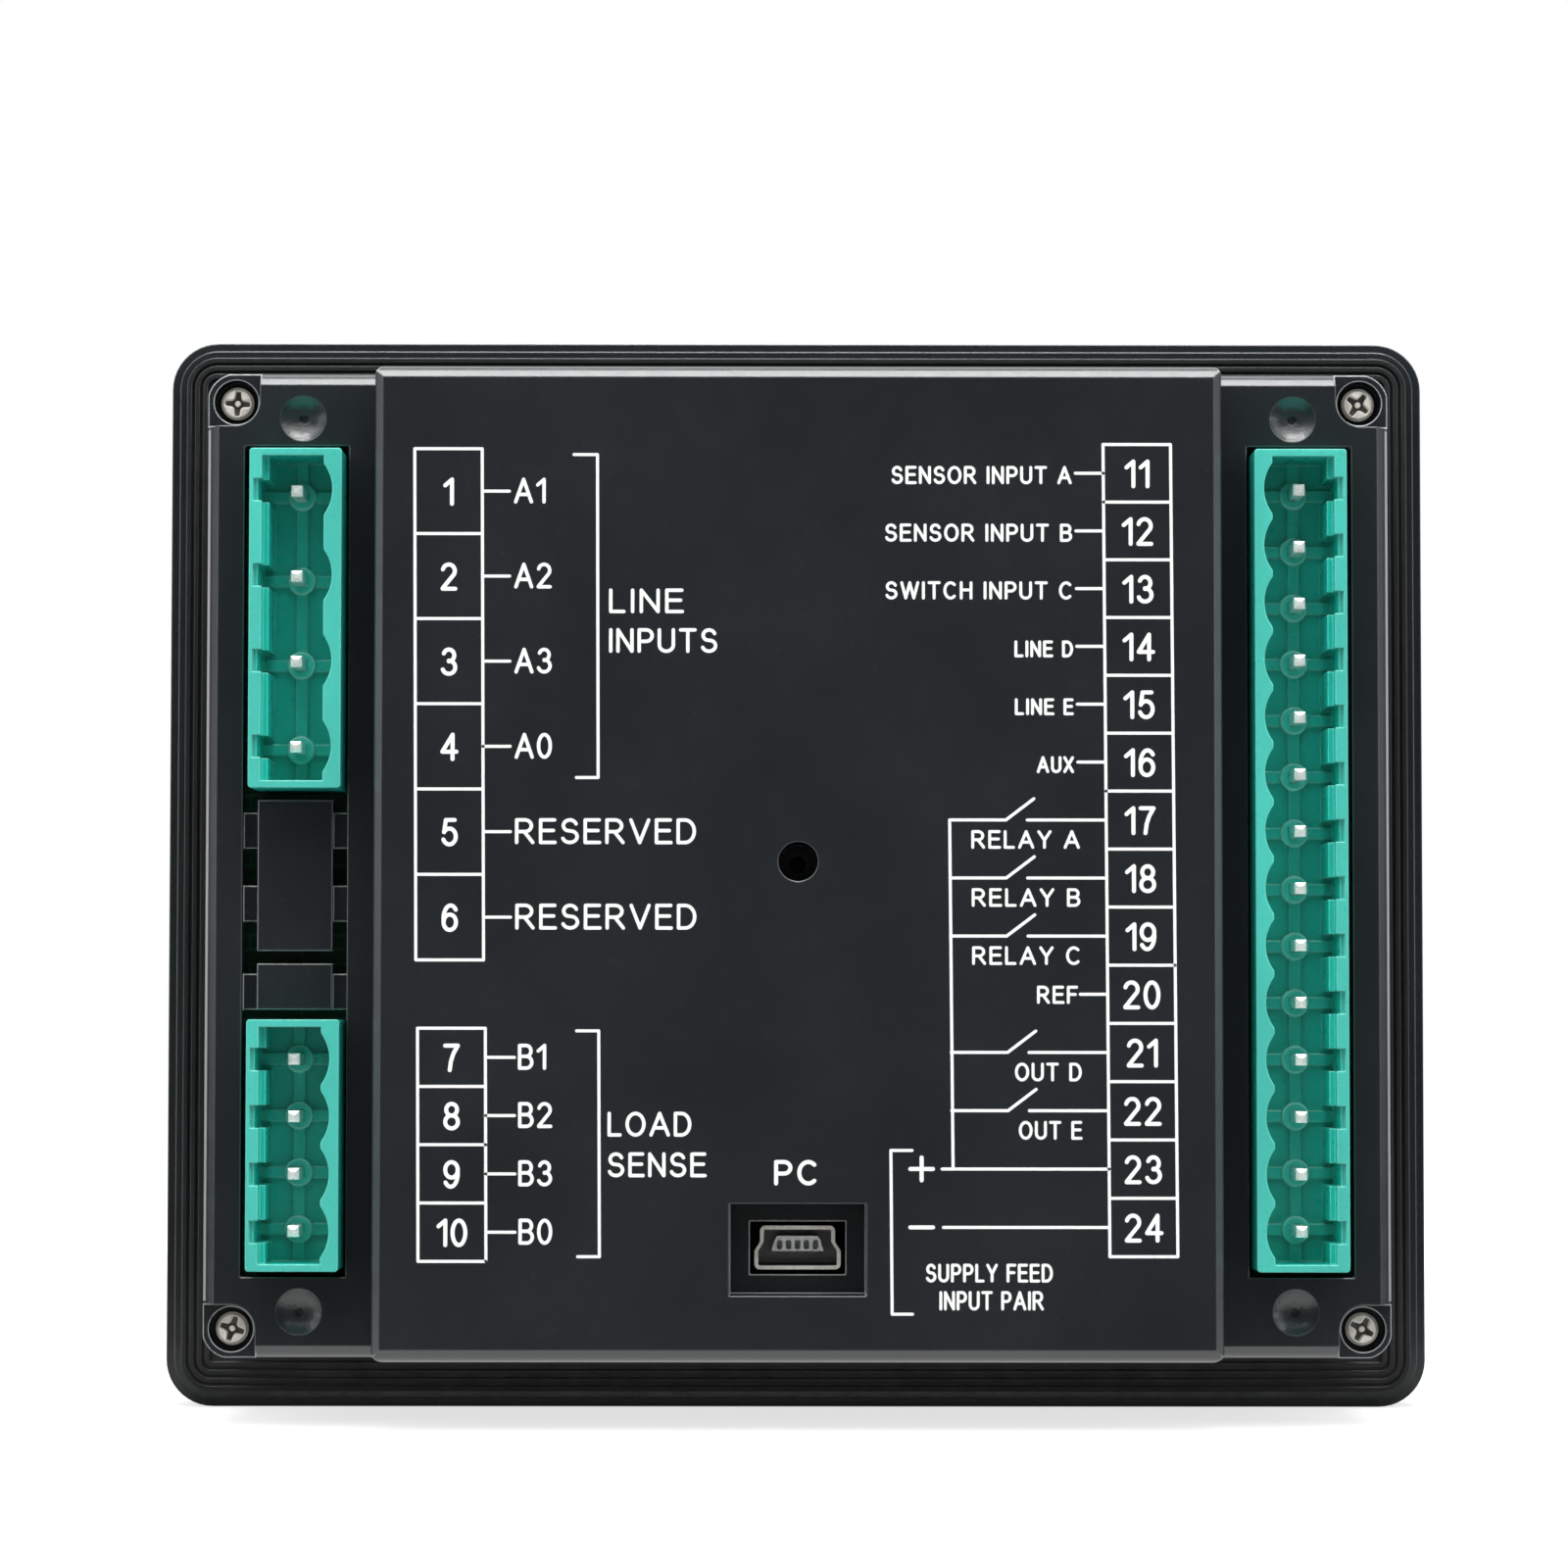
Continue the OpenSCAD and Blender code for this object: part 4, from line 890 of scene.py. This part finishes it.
def surroundings():
    """White for the camera; reflections see bright walls beside the object and dim ones before and behind.

    The walls are stops along Y, from the front to the rear, with their levels. They are weaker low down, both
    in front of the object and above its own height.
    """
    ends = (0.015, 0.006)
    walls = ((0.07, 0.03), (0.13, 0.34), (0.27, 0.34), (0.335, 0.05), (0.455, 0.05), (0.49, 0.54),
             (0.62, 0.54), (0.78, 0.05))
    strong, weak = 6.0, 1.8
    scene.world = bpy.data.worlds.new("studio")
    scene.world.use_nodes = True
    n = Nodes(scene.world.node_tree)
    n.tree.nodes.clear()
    way = n.add("ShaderNodeTexCoord").outputs["Generated"]
    _, y, z = n.add("ShaderNodeSeparateXYZ", {0: way}).outputs
    tones = n.add("ShaderNodeValToRGB", {0: n.span(y, -1, 1, 0, 1)})
    stops = tones.color_ramp.elements
    for stop, position, level in zip(list(stops), (0.0, 1.0), ends):
        stop.position, stop.color = position, (level, level, level, 1)
    for position, level in walls:
        stops.new(position).color = (level, level, level, 1)

    low = n.span(z, 0.35, 0.60, 1, 0)
    shaded = n.calc("MAXIMUM", n.span(y, -0.40, -0.25, 1, 0), n.span(z, 0.08, 0.20, 0, 1))
    strength = n.span(n.calc("MULTIPLY", low, shaded), 0, 1, strong, weak)
    mirrored = n.add("ShaderNodeBackground", {"Color": tones.outputs[0], "Strength": strength}).outputs[0]
    plain = n.add("ShaderNodeBackground", {"Color": (1, 1, 1, 1)}).outputs[0]
    dim = n.add("ShaderNodeBackground", {"Color": (0.16, 0.16, 0.16, 1)}).outputs[0]
    ray = n.add("ShaderNodeLightPath").outputs
    seen = n.calc("MAXIMUM", ray["Is Camera Ray"], ray["Is Transmission Ray"])
    n.add("ShaderNodeOutputWorld", {0: n.mix(seen, n.mix(ray["Is Glossy Ray"], dim, mirrored), plain)})


def floor_white():
    """Material of the floor: it keeps the shadow near the object and is plain white further out."""
    material = bpy.data.materials.new("floor_white")
    material.use_nodes = True
    n = Nodes(material.node_tree)
    n.tree.nodes.clear()
    ray = n.add("ShaderNodeLightPath").outputs
    place = n.add("ShaderNodeTexCoord").outputs["Object"]
    away = n.add("ShaderNodeVectorMath", {0: place}, operation="LENGTH").outputs["Value"]
    white = n.span(away, 0.06, 0.34, 0.72, 1.0, "SMOOTHSTEP")
    _, y, _ = n.add("ShaderNodeSeparateXYZ", {0: place}).outputs
    under = n.band(y, 0.010, 0.020, 0.036, 0.055, "SMOOTHSTEP")
    matt = n.add("ShaderNodeBsdfDiffuse", {"Color": (0.32, 0.32, 0.32, 1)}).outputs[0]
    seen = n.calc("MAXIMUM", ray["Is Camera Ray"], ray["Is Transmission Ray"])
    glow = n.add("ShaderNodeEmission", {"Strength": n.calc("MULTIPLY", seen, white)}).outputs[0]
    strength = n.span(under, 0, 1, 0.08, 1.4, "SMOOTHSTEP")
    mirrored = n.add("ShaderNodeEmission", {"Strength": strength}).outputs[0]
    both = n.add("ShaderNodeAddShader", {0: matt, 1: glow}).outputs[0]
    n.add("ShaderNodeOutputMaterial", {0: n.mix(ray["Is Glossy Ray"], both, mirrored)})
    return material


def floor():
    base = Matrix.Translation((0, 0, cad_box[0].z))
    bm = bmesh.new()
    bmesh.ops.create_grid(bm, x_segments=8, y_segments=8, size=6.0, matrix=base)
    mesh = bpy.data.meshes.new("floor")
    bm.to_mesh(mesh)
    bm.free()
    mesh.materials.append(floor_white())
    obj = bpy.data.objects.new("floor", mesh)
    scene.collection.objects.link(obj)


place_camera()
surroundings()
floor()
softbox("top_light", (0, 0.12, 0.8), 0.7, 0.5, 9.5)
softbox("front_light", (0, 0.55, 0.72), 1.4, 0.5, 2.4)
for side, name in ((1, "left"), (-1, "right")):
    softbox(name + "_light", (side * 0.95, 0.5, 0.35), 1.1, 1.1, 2, mirrored=False)
for side, name in ((1, "left"), (-1, "right")):
    softbox("back_" + name + "_light", (side * 0.6, -0.75, 0.55), 0.9, 0.8, 2.1, mirrored=False)
